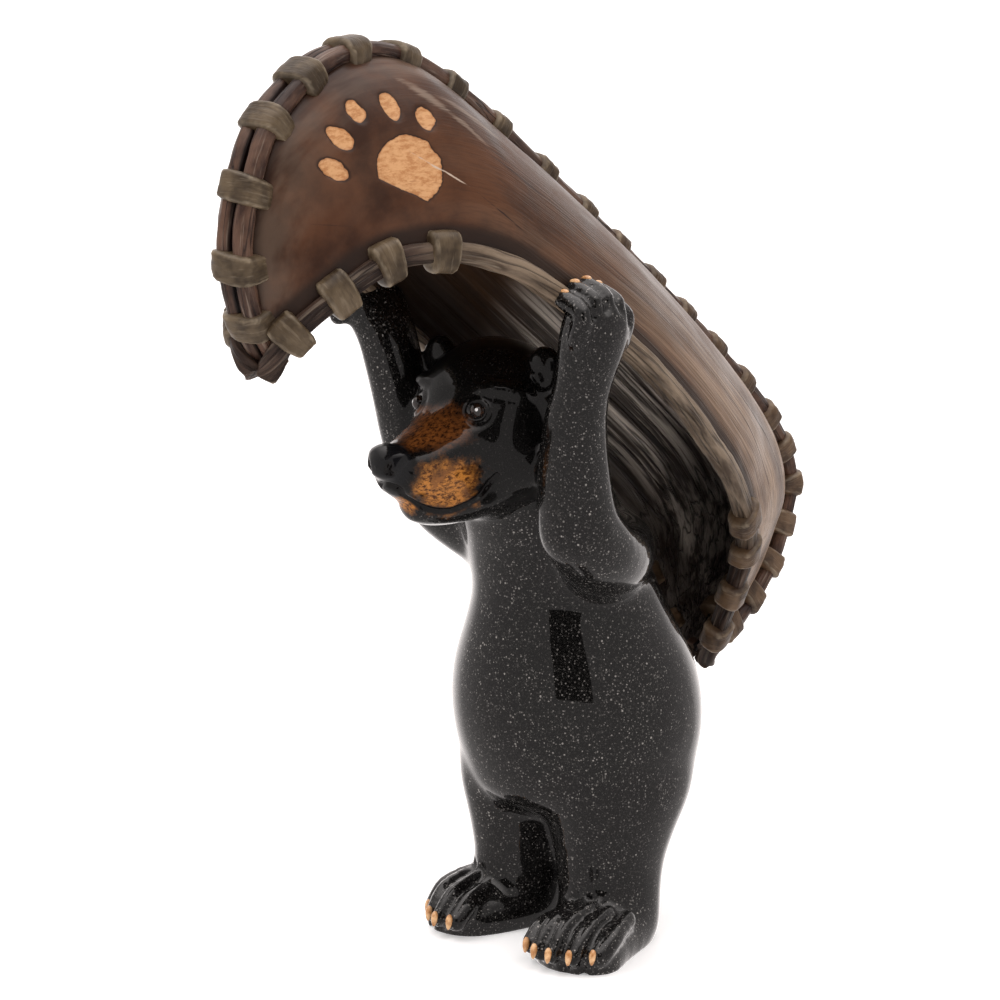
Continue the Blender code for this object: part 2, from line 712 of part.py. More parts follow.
def put_on_origin(objects):
    """Moves the figurine so that the middle of its bounding box's bottom is the origin."""
    corners = [vert.co for obj in objects for vert in obj.data.vertices]
    low = Vector([min(c[k] for c in corners) for k in range(3)])
    high = Vector([max(c[k] for c in corners) for k in range(3)])
    shift = Vector((-(low.x + high.x) / 2, -(low.y + high.y) / 2, -low.z))
    for obj in objects:
        obj.data.transform(Matrix.Translation(shift))


def main():
    for obj in list(bpy.data.objects):
        bpy.data.objects.remove(obj)
    collection = bpy.data.collections.new("bear_figurine")
    cutters = bpy.data.collections.new("cutters")
    bpy.context.scene.collection.children.link(collection)
    bpy.context.scene.collection.children.link(cutters)
    canoe = build_canoe(collection, cutters)
    bear = build_bear(collection, cutters)
    put_on_origin([bear, canoe])
    for obj in cutters.objects:
        obj.hide_render = True
        obj.display_type = "WIRE"


main()
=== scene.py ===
import bisect
import functools
import math
import random

import bmesh
import bpy
from mathutils import Matrix, Vector, bvhtree, kdtree, noise


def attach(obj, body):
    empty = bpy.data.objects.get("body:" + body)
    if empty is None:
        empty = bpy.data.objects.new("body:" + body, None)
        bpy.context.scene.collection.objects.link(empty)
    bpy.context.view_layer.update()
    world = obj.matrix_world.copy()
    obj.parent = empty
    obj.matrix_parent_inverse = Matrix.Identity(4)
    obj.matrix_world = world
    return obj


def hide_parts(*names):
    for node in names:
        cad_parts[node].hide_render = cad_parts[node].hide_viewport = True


# The looks of a resin ornament: a gloss black bear that carries a bark canoe over its head.
# The bear looks along -Y, its left side is +X, and the canoe's bow is raised towards -Y.

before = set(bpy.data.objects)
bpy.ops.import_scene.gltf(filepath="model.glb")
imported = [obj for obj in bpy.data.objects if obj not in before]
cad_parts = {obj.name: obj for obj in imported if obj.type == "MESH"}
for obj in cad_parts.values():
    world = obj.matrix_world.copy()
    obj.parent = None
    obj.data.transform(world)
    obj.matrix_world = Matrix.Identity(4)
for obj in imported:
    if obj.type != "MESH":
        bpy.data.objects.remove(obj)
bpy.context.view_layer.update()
random.seed(7)
print("frame loaded, nodes:", sorted(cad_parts))

figure = {
    "height": 0.240,                    # the bear's chains are shares of this
    "shift": (-0.0009, -0.0155, 0.0),   # from the bear's own middle to the row's origin
}


# Small helpers

def spline(points, at):   # values at a fractional index on a smooth curve through the points
    if len(points) == 1:
        return tuple(points[0])
    index = min(max(int(math.floor(at)), 0), len(points) - 2)
    t = at - index
    around = [points[min(max(k, 0), len(points) - 1)] for k in range(index - 1, index + 3)]
    values = []
    for before, start, end, after in zip(*around):
        into = (end - before) / 2
        out = (after - start) / 2
        values.append(start * (2 * t**3 - 3 * t**2 + 1) + into * (t**3 - 2 * t**2 + t)
                      + end * (3 * t**2 - 2 * t**3) + out * (t**3 - t**2))
    return tuple(values)


def ease(low, high, value):   # 0 below low, 1 above high, smooth between
    t = min(max((value - low) / (high - low), 0.0), 1.0)
    return t * t * (3 - 2 * t)


def toRow(point):   # from shares of the figure's height to the row frame
    return Vector(point) * figure["height"] + Vector(figure["shift"])


def makePiece(name, bm, finishes, sharpAngle=None):
    mesh = bpy.data.meshes.new(name)
    bm.to_mesh(mesh)
    bm.free()
    for finish in finishes:
        mesh.materials.append(finish)
    mesh.shade_smooth()
    if sharpAngle:
        mesh.set_sharp_from_angle(angle=math.radians(sharpAngle))
    piece = bpy.data.objects.new(name, mesh)
    bpy.context.scene.collection.objects.link(piece)
    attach(piece, "root")
    return piece


def applyModifiers(obj):
    bpy.context.view_layer.update()
    evaluated = obj.evaluated_get(bpy.context.evaluated_depsgraph_get())
    mesh = bpy.data.meshes.new_from_object(evaluated)
    obj.modifiers.clear()
    obj.data = mesh


# Materials

def fillSockets(tree, made, values):   # values may be numbers or another node's sockets
    for socket, value in values.items():
        if isinstance(value, bpy.types.NodeSocket):
            tree.links.new(value, made.inputs[socket])
        else:
            made.inputs[socket].default_value = value
    return made


def addNode(tree, kind, values=None, **settings):
    made = tree.nodes.new(kind)
    for name, value in settings.items():
        setattr(made, name, value)
    return fillSockets(tree, made, values or {})


def ownPlace(tree):   # a piece's own coordinates, which are the row's
    return addNode(tree, "ShaderNodeTexCoord").outputs["Object"]


def axesOf(tree, place):   # its x, y and z
    return addNode(tree, "ShaderNodeSeparateXYZ", {0: place}).outputs


def calc(tree, operation, *values):
    return addNode(tree, "ShaderNodeMath", dict(enumerate(values)), operation=operation).outputs[0]


def times(tree, first, second):
    return calc(tree, "MULTIPLY", first, second)


def vectors(tree, operation, values, result="Vector"):   # result is Value where a number comes out
    return addNode(tree, "ShaderNodeVectorMath", values, operation=operation).outputs[result]


def ramp(tree, value, low, high, start=0.0, end=1.0):
    made = addNode(tree, "ShaderNodeMapRange", {0: value, 1: low, 2: high, 3: start, 4: end},
                   interpolation_type="SMOOTHSTEP")
    return made.outputs[0]


def blendColour(tree, share, first, second):
    made = addNode(tree, "ShaderNodeMix", data_type="RGBA")
    values = {0: share, 6: first, 7: second}
    for index in (6, 7):
        if isinstance(values[index], tuple):
            values[index] = (*values[index], 1.0)
    return fillSockets(tree, made, values).outputs[2]


def noiseValue(tree, place, scale, detail=4.0, roughness=0.6, stretch=None):
    if stretch:
        place = addNode(tree, "ShaderNodeMapping", {"Vector": place, "Scale": stretch}).outputs[0]
    made = addNode(tree, "ShaderNodeTexNoise", {"Vector": place, "Scale": scale, "Detail": detail,
                                                "Roughness": roughness})
    return made.outputs[0]


def awayFrom(tree, place, middle, halfSizes, axes=None):   # 0 at an ellipsoid's middle, 1 on its surface
    values = {"Vector": place, "Location": middle, "Scale": halfSizes}
    if axes:
        values["Rotation"] = Matrix(axes).transposed().to_euler()
    local = addNode(tree, "ShaderNodeMapping", values, vector_type="TEXTURE")
    return vectors(tree, "LENGTH", {0: local.outputs[0]}, "Value")


def bothSides(tree, place):   # the same place on the left side, measured from the middle plane
    parts = axesOf(tree, place)
    middleX = figure["shift"][0]
    across = calc(tree, "ABSOLUTE", calc(tree, "SUBTRACT", parts[0], middleX))
    return addNode(tree, "ShaderNodeCombineXYZ", {0: calc(tree, "ADD", across, middleX), 1: parts[1],
                                                  2: parts[2]}).outputs[0]


def newFinish(name, settings):
    finish = bpy.data.materials.new(name)
    finish.use_nodes = True
    shader = finish.node_tree.nodes["Principled BSDF"]
    for socket, value in settings.items():
        shader.inputs[socket].default_value = value
    return finish, finish.node_tree, shader


def bumpFrom(tree, height, strength, distance):
    values = {"Height": height, "Strength": strength, "Distance": distance}
    return addNode(tree, "ShaderNodeBump", values).outputs[0]


def newGroup(name, numbers, results):   # a node group that takes a place and the numbers
    group = bpy.data.node_groups.new(name, "ShaderNodeTree")
    group.interface.new_socket("Place", in_out="INPUT", socket_type="NodeSocketVector")
    for number, value in numbers.items():
        socket = group.interface.new_socket(number, in_out="INPUT", socket_type="NodeSocketFloat")
        socket.default_value = value
    for result in results:
        group.interface.new_socket(result, in_out="OUTPUT", socket_type="NodeSocketFloat")
    return group, group.nodes.new("NodeGroupInput"), group.nodes.new("NodeGroupOutput")


def grainGroup():   # streaks that run along a piece, and thin cracks between them
    numbers = {"Streak scale": 400.0, "Crack scale": 60.0, "Crack width": 0.02}
    group, takes, gives = newGroup("barkGrain", numbers, ("Streaks", "Cracks"))
    stretched = {"Vector": takes.outputs["Place"], "Scale": (0.06, 1.0, 1.0)}
    lengthwise = addNode(group, "ShaderNodeMapping", stretched)
    streaks = addNode(group, "ShaderNodeTexNoise", {"Vector": lengthwise.outputs[0], "Detail": 5.0,
                                                    "Scale": takes.outputs["Streak scale"]})
    cracks = addNode(group, "ShaderNodeTexNoise", {"Vector": lengthwise.outputs[0], "Detail": 2.0,
                                                   "Roughness": 0.4, "Scale": takes.outputs["Crack scale"]})
    off = calc(group, "ABSOLUTE", calc(group, "SUBTRACT", cracks.outputs[0], 0.5))
    within = {0: off, 1: 0.0, 2: takes.outputs["Crack width"], 3: 1.0, 4: 0.0}
    thin = addNode(group, "ShaderNodeMapRange", within)
    group.links.new(streaks.outputs[0], gives.inputs["Streaks"])
    group.links.new(thin.outputs[0], gives.inputs["Cracks"])
    return group


def wearAndShadeGroup():   # rubbed edges, and painted shade in the hollows, from how sharply the surface bends
    group, takes, gives = newGroup("edgeWearAndShade", {"Patch scale": 300.0}, ("Edges", "Shaded hollows"))
    bend = group.nodes.new("ShaderNodeNewGeometry").outputs["Pointiness"]
    patch = addNode(group, "ShaderNodeTexNoise", {"Vector": takes.outputs["Place"], "Detail": 4.0,
                                                  "Scale": takes.outputs["Patch scale"]})
    uneven = calc(group, "MULTIPLY_ADD", patch.outputs[0], 0.05, -0.025)
    shifted = calc(group, "ADD", bend, uneven)
    group.links.new(ramp(group, shifted, 0.530, 0.600), gives.inputs["Edges"])
    group.links.new(ramp(group, shifted, 0.488, 0.430), gives.inputs["Shaded hollows"])
    return group


barkGrain = grainGroup()
edgeWearAndShade = wearAndShadeGroup()


def useGroup(tree, group, values):
    made = tree.nodes.new("ShaderNodeGroup")
    made.node_tree = group
    return fillSockets(tree, made, values)


def grainPlace(tree):   # distance along the piece, then the two directions round it, in metres
    return addNode(tree, "ShaderNodeAttribute", attribute_name="grainPlace").outputs["Vector"]


# The canoe, upside down, with its own outlines from the bow's tip to the stern's tip

canoe = {
    "length": 0.2424,           # stem to stem over the lashings
    "depth": 0.0970,            # from the tips' level up to the keel
    "beam": 0.0760,             # across the gunwales
    "pitch": math.radians(33.9),
    "originBack": -0.049,       # the canoe's own origin, as shares of the figure's height
    "originUp": 0.446,
    "wall": 0.0030,
    "stationPitch": 0.0195,     # about how far apart the stations are
    "stickRadius": 0.0026,
    "stickSpread": 0.0026,      # from the middle to each stick's centre
    "railRadius": 0.0027,
    "lashThickness": 0.0011,
    # along and up, as shares of length and depth
    "keel": ((0.366, 0.050), (0.430, 0.123), (0.481, 0.267), (0.508, 0.493), (0.497, 0.670), (0.467, 0.818),
             (0.401, 0.939), (0.288, 0.996), (0.030, 0.994), (-0.218, 0.971), (-0.373, 0.927),
             (-0.456, 0.830), (-0.480, 0.693), (-0.488, 0.535), (-0.469, 0.339), (-0.429, 0.172)),
    # share of half the beam, then along and up
    "gunwale": ((0.055, 0.366, 0.045), (0.205, 0.383, 0.121), (0.356, 0.375, 0.245), (0.493, 0.347, 0.397),
                (0.589, 0.318, 0.468), (0.664, 0.294, 0.506), (0.753, 0.256, 0.540), (0.856, 0.202, 0.560),
                (1.000, 0.035, 0.562), (0.918, -0.144, 0.524), (0.740, -0.254, 0.486), (0.582, -0.315, 0.434),
                (0.452, -0.347, 0.360), (0.315, -0.376, 0.273), (0.171, -0.406, 0.203),
                (0.055, -0.426, 0.174)),
}
lastStation = len(canoe["keel"]) - 1


def canoeToRow(point):   # across, along and up in the canoe's own frame
    across, along, up = point
    cosine = math.cos(canoe["pitch"])
    sine = math.sin(canoe["pitch"])
    back = canoe["originBack"] * figure["height"] - along * cosine + up * sine
    height = canoe["originUp"] * figure["height"] + along * sine + up * cosine
    return Vector((across, back, height)) + Vector(figure["shift"])


def outlineAt(station):
    along, up = spline(canoe["keel"], station)
    return Vector((0.0, along * canoe["length"], up * canoe["depth"]))


@functools.lru_cache(maxsize=None)
def outwardAt(station):
    run = outlineAt(min(station + 0.02, lastStation)) - outlineAt(max(station - 0.02, 0))
    return Vector((0.0, run.z, -run.y)).normalized()


@functools.lru_cache(maxsize=None)
def keelAt(station):
    return outlineAt(station) - outwardAt(station) * (canoe["stickRadius"] + canoe["lashThickness"])


@functools.lru_cache(maxsize=None)
def gunwaleAt(station, side=1):
    across, along, up = spline(canoe["gunwale"], station)
    return Vector((side * across * canoe["beam"] / 2, along * canoe["length"], up * canoe["depth"]))


@functools.lru_cache(maxsize=None)
def fullnessAt(station):   # 1 where a section is round, 0 where it is a narrow V
    return min(max(spline(canoe["gunwale"], station)[0], 0.0), 1.0) ** 0.8


def hullPoint(station, climb, side=1, wall=0.0):   # climb is 0 at the gunwale and 1 at the keel
    full = fullnessAt(station)
    gunwale = gunwaleAt(station)
    keel = keelAt(station)
    half = gunwale.x
    if wall:
        reach = (keel - Vector((0, gunwale.y, gunwale.z))).length
        keel = keel - outwardAt(station) * min(wall * (1 + 1.4 * (1 - full)), 0.8 * reach)
        half = max(half - wall, 0.3 * half)
    turn = climb * math.pi / 2
    lean = 0.85 + 0.50 * ease(6.0, 7.4, station)   # leaner towards the keel behind the print
    width = (1 - full) * (1 - climb) + full * max(math.cos(turn), 0.0) ** lean
    rise = (1 - full) * climb + full * max(math.sin(turn), 0.0) ** 1.05
    return Vector((side * half * width,
                   gunwale.y + (keel.y - gunwale.y) * rise,
                   gunwale.z + (keel.z - gunwale.z) * rise))


def evenStations(curve):   # a function from distance along a curve to its station, and the length
    steps = 1200
    points = [curve(lastStation * k / steps) for k in range(steps + 1)]
    travelled = [0.0]
    for near, far in zip(points, points[1:]):
        travelled.append(travelled[-1] + (far - near).length)

    def stationAt(distance):
        k = min(max(bisect.bisect_left(travelled, distance), 1), steps)
        gap = travelled[k] - travelled[k - 1]
        return lastStation * min(max(k - 1 + (distance - travelled[k - 1]) / gap, 0), steps) / steps

    return stationAt, travelled[-1]


# The paw print: six pads carved into each side of the bow

pawPrint = {
    "depth": 0.0007,
    "edge": 0.0006,             # width of the carved edge
    "reach": 0.014,             # no pad is felt further than this from its middle
    "heelFlat": 0.60,           # the big pad is cut straight at this share of its half length
    # station, share of the way from gunwale to keel, half length, half width, lean in degrees
    "pads": ((4.77, 0.334, 0.0082, 0.0085, -37), (3.42, 0.520, 0.0038, 0.0021, 23),
             (3.91, 0.608, 0.0036, 0.0021, 12), (4.48, 0.651, 0.0031, 0.0019, 2),
             (5.14, 0.603, 0.0036, 0.0021, 8), (5.62, 0.528, 0.0030, 0.0025, 15)),
}


def padFrame(pad):   # the middle, and the directions of width, length and outwards, on the left side
    station, climb, halfLong, halfWide, lean = pad
    middle = hullPoint(station, climb)
    along = (hullPoint(station + 0.1, climb) - middle).normalized()
    across = hullPoint(station, climb + 0.05) - middle
    across = (across - along * across.dot(along)).normalized()
    turn = math.radians(lean)
    longWay = across * math.cos(turn) - along * math.sin(turn)
    wideWay = along * math.cos(turn) + across * math.sin(turn)
    return middle, wideWay, longWay, wideWay.cross(longWay)


padFrames = [(padFrame(pad), pad[3], pad[2]) for pad in pawPrint["pads"]]


def printDepth(point):   # how deep the print is carved at a hull point of the left side
    deepest = 0.0
    for number, ((middle, wideWay, longWay, outWay), halfWide, halfLong) in enumerate(padFrames):
        away = point - middle
        if away.length > pawPrint["reach"]:
            continue
        wide = away.dot(wideWay) / halfWide
        long = away.dot(longWay) / halfLong
        inside = (1 - math.hypot(wide, long)) * min(halfWide, halfLong)
        if number == 0:
            inside = min(inside, (long + pawPrint["heelFlat"]) * halfLong)
        deepest = max(deepest, pawPrint["depth"] * ease(-pawPrint["edge"] / 2, pawPrint["edge"] / 2, inside))
    return deepest


def rowAxes(ways):   # canoe directions as axes in the row frame, which mirrors the canoe's own
    first, second = [canoeToRow(way) - canoeToRow(Vector()) for way in ways]
    return first, second, first.cross(second)


def printMask(tree, oneSide):   # millimetres in from a pad's edge, for the paint; the same pads on both sides
    uneven = addNode(tree, "ShaderNodeTexNoise", {"Vector": oneSide, "Scale": 330.0, "Detail": 2.0})
    wobble = vectors(tree, "SUBTRACT", {0: uneven.outputs["Color"], 1: (0.5, 0.5, 0.5)})
    wobble = vectors(tree, "SCALE", {0: wobble, "Scale": 0.0015})
    handMade = vectors(tree, "ADD", {0: oneSide, 1: wobble})
    best = None
    for number, (axes, halfWide, halfLong) in enumerate(padFrames):
        middle = canoeToRow(axes[0])
        turned = rowAxes(axes[1:3])
        away = awayFrom(tree, handMade, middle, (halfWide, halfLong, 0.01), turned)
        inside = times(tree, calc(tree, "SUBTRACT", 1.0, away), min(halfWide, halfLong) * 1000)
        if number == 0:
            local = vectors(tree, "SUBTRACT", {0: handMade, 1: middle})
            along = vectors(tree, "DOT_PRODUCT", {0: local, 1: turned[1]}, "Value")
            chord = calc(tree, "MULTIPLY_ADD", along, 1000.0, pawPrint["heelFlat"] * halfLong * 1000)
            inside = calc(tree, "MINIMUM", inside, chord)
        best = inside if best is None else calc(tree, "MAXIMUM", best, inside)
    return best


# Scratches and creases on the hull's sides, and three broad pale streaks of painted sheen: from and to
# (station, climb), half width, then paint and share
hullMarks = (
    ((4.95, 0.415), (5.97, 0.250), 0.00028, "pale", 0.9),
    ((5.97, 0.250), (6.95, 0.150), 0.00030, "dark", 0.9),
    ((6.45, 0.433), (7.28, 0.400), 0.00034, "dark", 0.9),
    ((7.20, 0.410), (7.75, 0.330), 0.00030, "dark", 0.8),
    ((6.30, 0.470), (7.20, 0.450), 0.00025, "dark", 0.6),
    # the next three broad pale streaks are a painted sheen, light on the hull near the keel
    ((5.55, 0.750), (6.22, 0.545), 0.00170, "pale", 0.28),
    ((6.00, 0.600), (6.75, 0.440), 0.00110, "pale", 0.25),
    ((5.90, 0.670), (7.10, 0.560), 0.00140, "pale", 0.25),
    ((8.03, 0.233), (8.40, 0.245), 0.00028, "dark", 0.8),
    ((8.70, 0.460), (9.70, 0.420), 0.00030, "dark", 0.7),
    ((9.60, 0.430), (10.8, 0.480), 0.00035, "dark", 0.8),
    ((8.20, 0.640), (9.30, 0.600), 0.00026, "dark", 0.6),
    ((2.55, 0.480), (2.95, 0.260), 0.00022, "dark", 0.4),
)
markPaints = {"pale": (0.47, 0.37, 0.29), "dark": (0.014, 0.007, 0.005)}


def outThere(place, across=None):   # outwards from the hull's left side, square to a direction if given
    station, climb = place
    along = canoeToRow(hullPoint(station + 0.1, climb)) - canoeToRow(hullPoint(station, climb))
    upwards = canoeToRow(hullPoint(station, climb + 0.05)) - canoeToRow(hullPoint(station, climb))
    out = along.cross(upwards).normalized()
    return (out - across * out.dot(across)).normalized() if across else out


def addMarks(tree, oneSide, place, colour):
    ragged = noiseValue(tree, place, 900.0, detail=3.0, stretch=(0.15, 1.0, 1.0))
    for start, end, halfWidth, paint, share in hullMarks:
        first = canoeToRow(hullPoint(*start))
        second = canoeToRow(hullPoint(*end))
        along = (second - first).normalized()
        out = outThere(start, along)
        halfSizes = ((second - first).length / 2, halfWidth, 0.004)
        away = awayFrom(tree, oneSide, (first + second) / 2, halfSizes, (along, out.cross(along), out))
        away = calc(tree, "MULTIPLY_ADD", calc(tree, "SUBTRACT", ragged, 0.5), 1.6, away)
        mark = times(tree, ramp(tree, away, 1.0, 0.25), share)
        colour = blendColour(tree, mark, colour, markPaints[paint])
    return colour


def hullFinish():
    finish, tree, shader = newFinish("barkPaint", {"Specular IOR Level": 0.30})
    place = grainPlace(tree)
    here = ownPlace(tree)
    oneSide = bothSides(tree, here)
    grain = useGroup(tree, barkGrain, {"Place": place, "Streak scale": 1500.0, "Crack scale": 75.0,
                                       "Crack width": 0.006})
    wide = noiseValue(tree, place, 60.0, detail=4.0, stretch=(0.16, 1.0, 1.0))
    patches = noiseValue(tree, here, 55.0, detail=6.0)
    back = axesOf(tree, here)[1]
    toEdge = axesOf(tree, place)
    # Redder and darker towards the bow, tanner and lighter towards the stern.
    sternward = ramp(tree, back, -0.068, 0.070)
    red = blendColour(tree, ramp(tree, patches, 0.35, 0.68), (0.025, 0.0070, 0.0016), (0.076, 0.026, 0.0085))
    tan = blendColour(tree, ramp(tree, wide, 0.32, 0.66), (0.100, 0.053, 0.028), (0.270, 0.178, 0.112))
    colour = blendColour(tree, sternward, red, tan)
    # Pale patches, partly worn paint; near the keel they are a painted sheen, the light that the keel side
    # catches.
    keelSheen = ramp(tree, toEdge[2], 0.026, 0.004)
    pale = times(tree, ramp(tree, wide, 0.40, 0.64), calc(tree, "MULTIPLY_ADD", keelSheen, 0.75, 0.15))
    pale = times(tree, pale, calc(tree, "MULTIPLY_ADD", sternward, 0.85, 0.15))
    colour = blendColour(tree, pale, colour, (0.48, 0.37, 0.28))
    streaks = ramp(tree, grain.outputs["Streaks"], 0.46, 0.66)
    fade = calc(tree, "MULTIPLY_ADD", ramp(tree, back, -0.085, -0.020), 0.9, 0.1)
    colour = blendColour(tree, times(tree, times(tree, streaks, 0.45), fade), colour, (0.030, 0.013, 0.007))
    light = times(tree, ramp(tree, grain.outputs["Streaks"], 0.46, 0.34), 0.25)
    colour = blendColour(tree, times(tree, light, sternward), colour, (0.34, 0.25, 0.18))
    cracks = times(tree, grain.outputs["Cracks"], sternward)
    colour = blendColour(tree, times(tree, cracks, 0.8), colour, (0.014, 0.007, 0.004))
    # Painted shade: the hull darkens next to the keel sticks and along the gunwale rails.
    edge = calc(tree, "MAXIMUM", ramp(tree, toEdge[2], 0.0085, 0.0040),
                ramp(tree, calc(tree, "ABSOLUTE", toEdge[1]), 0.0075, 0.0050))
    colour = blendColour(tree, times(tree, edge, 0.85), colour, (0.016, 0.008, 0.005))
    inside = printMask(tree, oneSide)
    # Painted shade: a dark line in the carved edge just outside each pad.
    grooveShade = times(tree, ramp(tree, inside, -0.55, -0.10), 0.85)
    colour = blendColour(tree, grooveShade, colour, (0.020, 0.009, 0.005))
    fibre = noiseValue(tree, here, 900.0, detail=4.0, roughness=0.7, stretch=(1.0, 0.35, 1.0))
    peach = blendColour(tree, ramp(tree, fibre, 0.34, 0.60), (0.37, 0.165, 0.062), (0.53, 0.29, 0.135))
    # Painted shade: the peach darkens on the sloping edge inside each pad.
    rimShade = ramp(tree, inside, 0.40, 0.0)
    peach = blendColour(tree, times(tree, rimShade, 0.6), peach, (0.24, 0.085, 0.028))
    scratches = noiseValue(tree, here, 1500.0, detail=2.0, stretch=(0.5, 0.12, 1.0))
    peach = blendColour(tree, times(tree, ramp(tree, scratches, 0.63, 0.70), 0.6), peach, (0.30, 0.13, 0.05))
    colour = blendColour(tree, ramp(tree, inside, -0.05, 0.05), colour, peach)
    colour = addMarks(tree, oneSide, place, colour)
    tree.links.new(colour, shader.inputs["Base Color"])
    shade = ramp(tree, patches, 0.3, 0.7, 0.30, 0.46)
    tree.links.new(shade, shader.inputs["Roughness"])
    raised = times(tree, grain.outputs["Streaks"], times(tree, fade, 0.6))
    relief = calc(tree, "MULTIPLY_ADD", cracks, -0.8, raised)
    tree.links.new(bumpFrom(tree, relief, 0.5, 0.0006), shader.inputs["Normal"])
    return finish


def insideFinish():
    finish, tree, shader = newFinish("hollowPaint", {"Roughness": 0.30})
    place = grainPlace(tree)
    here = ownPlace(tree)
    grain = useGroup(tree, barkGrain, {"Place": place, "Streak scale": 900.0, "Crack scale": 300.0,
                                       "Crack width": 0.05})
    wide = noiseValue(tree, place, 170.0, detail=4.0, stretch=(0.10, 1.0, 1.0))
    back = axesOf(tree, here)[1]
    stern = ramp(tree, back, 0.010, 0.042)
    smooth = blendColour(tree, ramp(tree, wide, 0.30, 0.70), (0.030, 0.013, 0.005), (0.062, 0.029, 0.012))
    # Towards the stern the carved grain takes near-white tones, partly grain and partly a painted highlight
    # for light the grooves catch.
    carved = blendColour(tree, ramp(tree, wide, 0.42, 0.60), (0.060, 0.045, 0.036), (0.800, 0.710, 0.620))
    colour = blendColour(tree, stern, smooth, carved)
    # Painted highlight on the raised streaks towards the stern.
    light = ramp(tree, grain.outputs["Streaks"], 0.50, 0.70)
    light = times(tree, light, calc(tree, "MULTIPLY_ADD", stern, 0.55, 0.02))
    colour = blendColour(tree, light, colour, (0.850, 0.750, 0.650))
    dark = times(tree, grain.outputs["Cracks"], calc(tree, "MULTIPLY_ADD", stern, 0.65, 0.15))
    colour = blendColour(tree, dark, colour, (0.006, 0.004, 0.003))
    nearRail = ramp(tree, calc(tree, "ABSOLUTE", axesOf(tree, place)[1]), 0.020, 0.010)
    shaded = calc(tree, "MAXIMUM", times(tree, nearRail, 0.92),
                  times(tree, ramp(tree, back, 0.060, 0.085), 0.8))
    colour = blendColour(tree, shaded, colour, (0.016, 0.009, 0.006))
    tree.links.new(colour, shader.inputs["Base Color"])
    relief = calc(tree, "SUBTRACT", calc(tree, "ADD", grain.outputs["Streaks"], wide),
                  grain.outputs["Cracks"])
    relief = times(tree, relief, calc(tree, "MULTIPLY_ADD", stern, 0.85, 0.15))
    tree.links.new(bumpFrom(tree, relief, 0.7, 0.0008), shader.inputs["Normal"])
    tree.links.new(calc(tree, "MULTIPLY_ADD", stern, 0.45, 0.08), shader.inputs["Specular IOR Level"])
    return finish


hull = {
    "columns": 320, "rows": 140,
    "firstStation": 0.45,       # the hull stops inside the sewn tips
    "printColumns": 0.48,       # share of the columns that lies before printStation
    "printStation": 6.3,
    "waviness": 0.00025,        # hand-carved unevenness outside
    "grooves": 0.00060,         # depth of the carved streaks inside, towards the stern
}


def buildHull():
    bm = bmesh.new()
    bmesh.ops.create_grid(bm, x_segments=hull["columns"], y_segments=hull["rows"], size=0.5)
    bmesh.ops.solidify(bm, geom=list(bm.faces), thickness=0.1)
    layer = bm.verts.layers.float_vector.new("grainPlace")
    first = hull["firstStation"]
    printed = hull["printStation"]
    share = hull["printColumns"]
    lastHullStation = lastStation - first
    innerVerts = set()
    heights = [vert.co.z for vert in bm.verts]
    split = (min(heights) + max(heights)) / 2
    outerIsHigh = sum(z > split for z in heights) * 2 >= len(heights) and max(heights) > abs(min(heights))
    for vert in bm.verts:
        u = vert.co.x + 0.5
        v = vert.co.y + 0.5
        if u < share:
            station = first + (printed - first) * u / share
        else:
            station = printed + (lastHullStation - printed) * (u - share) / (1 - share)
        station = round(station, 6)
        climb = 1 - abs(2 * v - 1)
        side = 1 if v >= 0.5 else -1
        inner = (vert.co.z > split) != outerIsHigh
        if inner:
            innerVerts.add(vert)
            point = hullPoint(station, climb, side, canoe["wall"])
            streak = noise.fractal(Vector((station * 0.7, climb * 13, side * 3)), 0.8, 2.0, 3)
            inward = Vector((-point.x, 0, -0.01)).normalized()
            carved = ease(0.0, 0.06, climb) * (0.12 + 0.88 * ease(6.8, 8.6, station))
            point += inward * hull["grooves"] * streak * carved
        else:
            point = hullPoint(station, climb, side)
            middle = Vector((0, point.y, gunwaleAt(station).z))
            outWay = (point - middle).normalized() if (point - middle).length > 1e-5 else Vector((0, 0, 1))
            wave = noise.fractal(Vector((point.x * 90, point.y * 40, point.z * 90)), 0.8, 2.0, 3)
            point = point + outWay * hull["waviness"] * wave
            if climb > 0.1 and 2.5 < station < 6.6:
                near = Vector((abs(point.x), point.y, point.z))
                point = point - outWay * printDepth(near)
        reach = (keelAt(station) - gunwaleAt(station)).length
        vert[layer] = (station * canoe["stationPitch"], side * climb * reach, (1 - climb) * reach)
        vert.co = canoeToRow(point)
    for poly in bm.faces:
        poly.material_index = 1 if all(vert in innerVerts for vert in poly.verts) else 0
    bmesh.ops.recalc_face_normals(bm, faces=bm.faces)
    piece = makePiece("canoe_hull", bm, [hullFinish(), insideFinish()], 50)
    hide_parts("canoe")
    return piece


# Sticks, rails and lashings all start as a cylinder that is cut along and bent into place

def bentCylinder(bm, sides, cuts, placeAt):
    oldVerts = len(bm.verts)
    oldEdges = len(bm.edges)
    bmesh.ops.create_cone(bm, cap_ends=True, segments=sides, radius1=1.0, radius2=1.0, depth=1.0)
    bm.edges.ensure_lookup_table()
    lengthwise = [edge for edge in bm.edges[oldEdges:] if abs(edge.verts[0].co.z - edge.verts[1].co.z) > 0.5]
    bmesh.ops.subdivide_edges(bm, edges=lengthwise, cuts=cuts, use_grid_fill=True)
    bm.verts.ensure_lookup_table()
    layer = bm.verts.layers.float_vector.get("grainPlace") or bm.verts.layers.float_vector.new("grainPlace")
    for vert in bm.verts[oldVerts:]:
        vert.co, grain = placeAt(vert.co.z + 0.5, math.atan2(vert.co.y, vert.co.x))
        vert[layer] = grain


def signedPower(value, power):
    return math.copysign(abs(value) ** power, value)


sticks = {
    "sides": 20, "cuts": 520,
    "thinner": 0.00025,         # how much each stick is thinner than the pair's outline
    "knots": 0.00030,           # height of the bark's lumps
    "ridges": 0.00012,          # height of the ridges along it
}


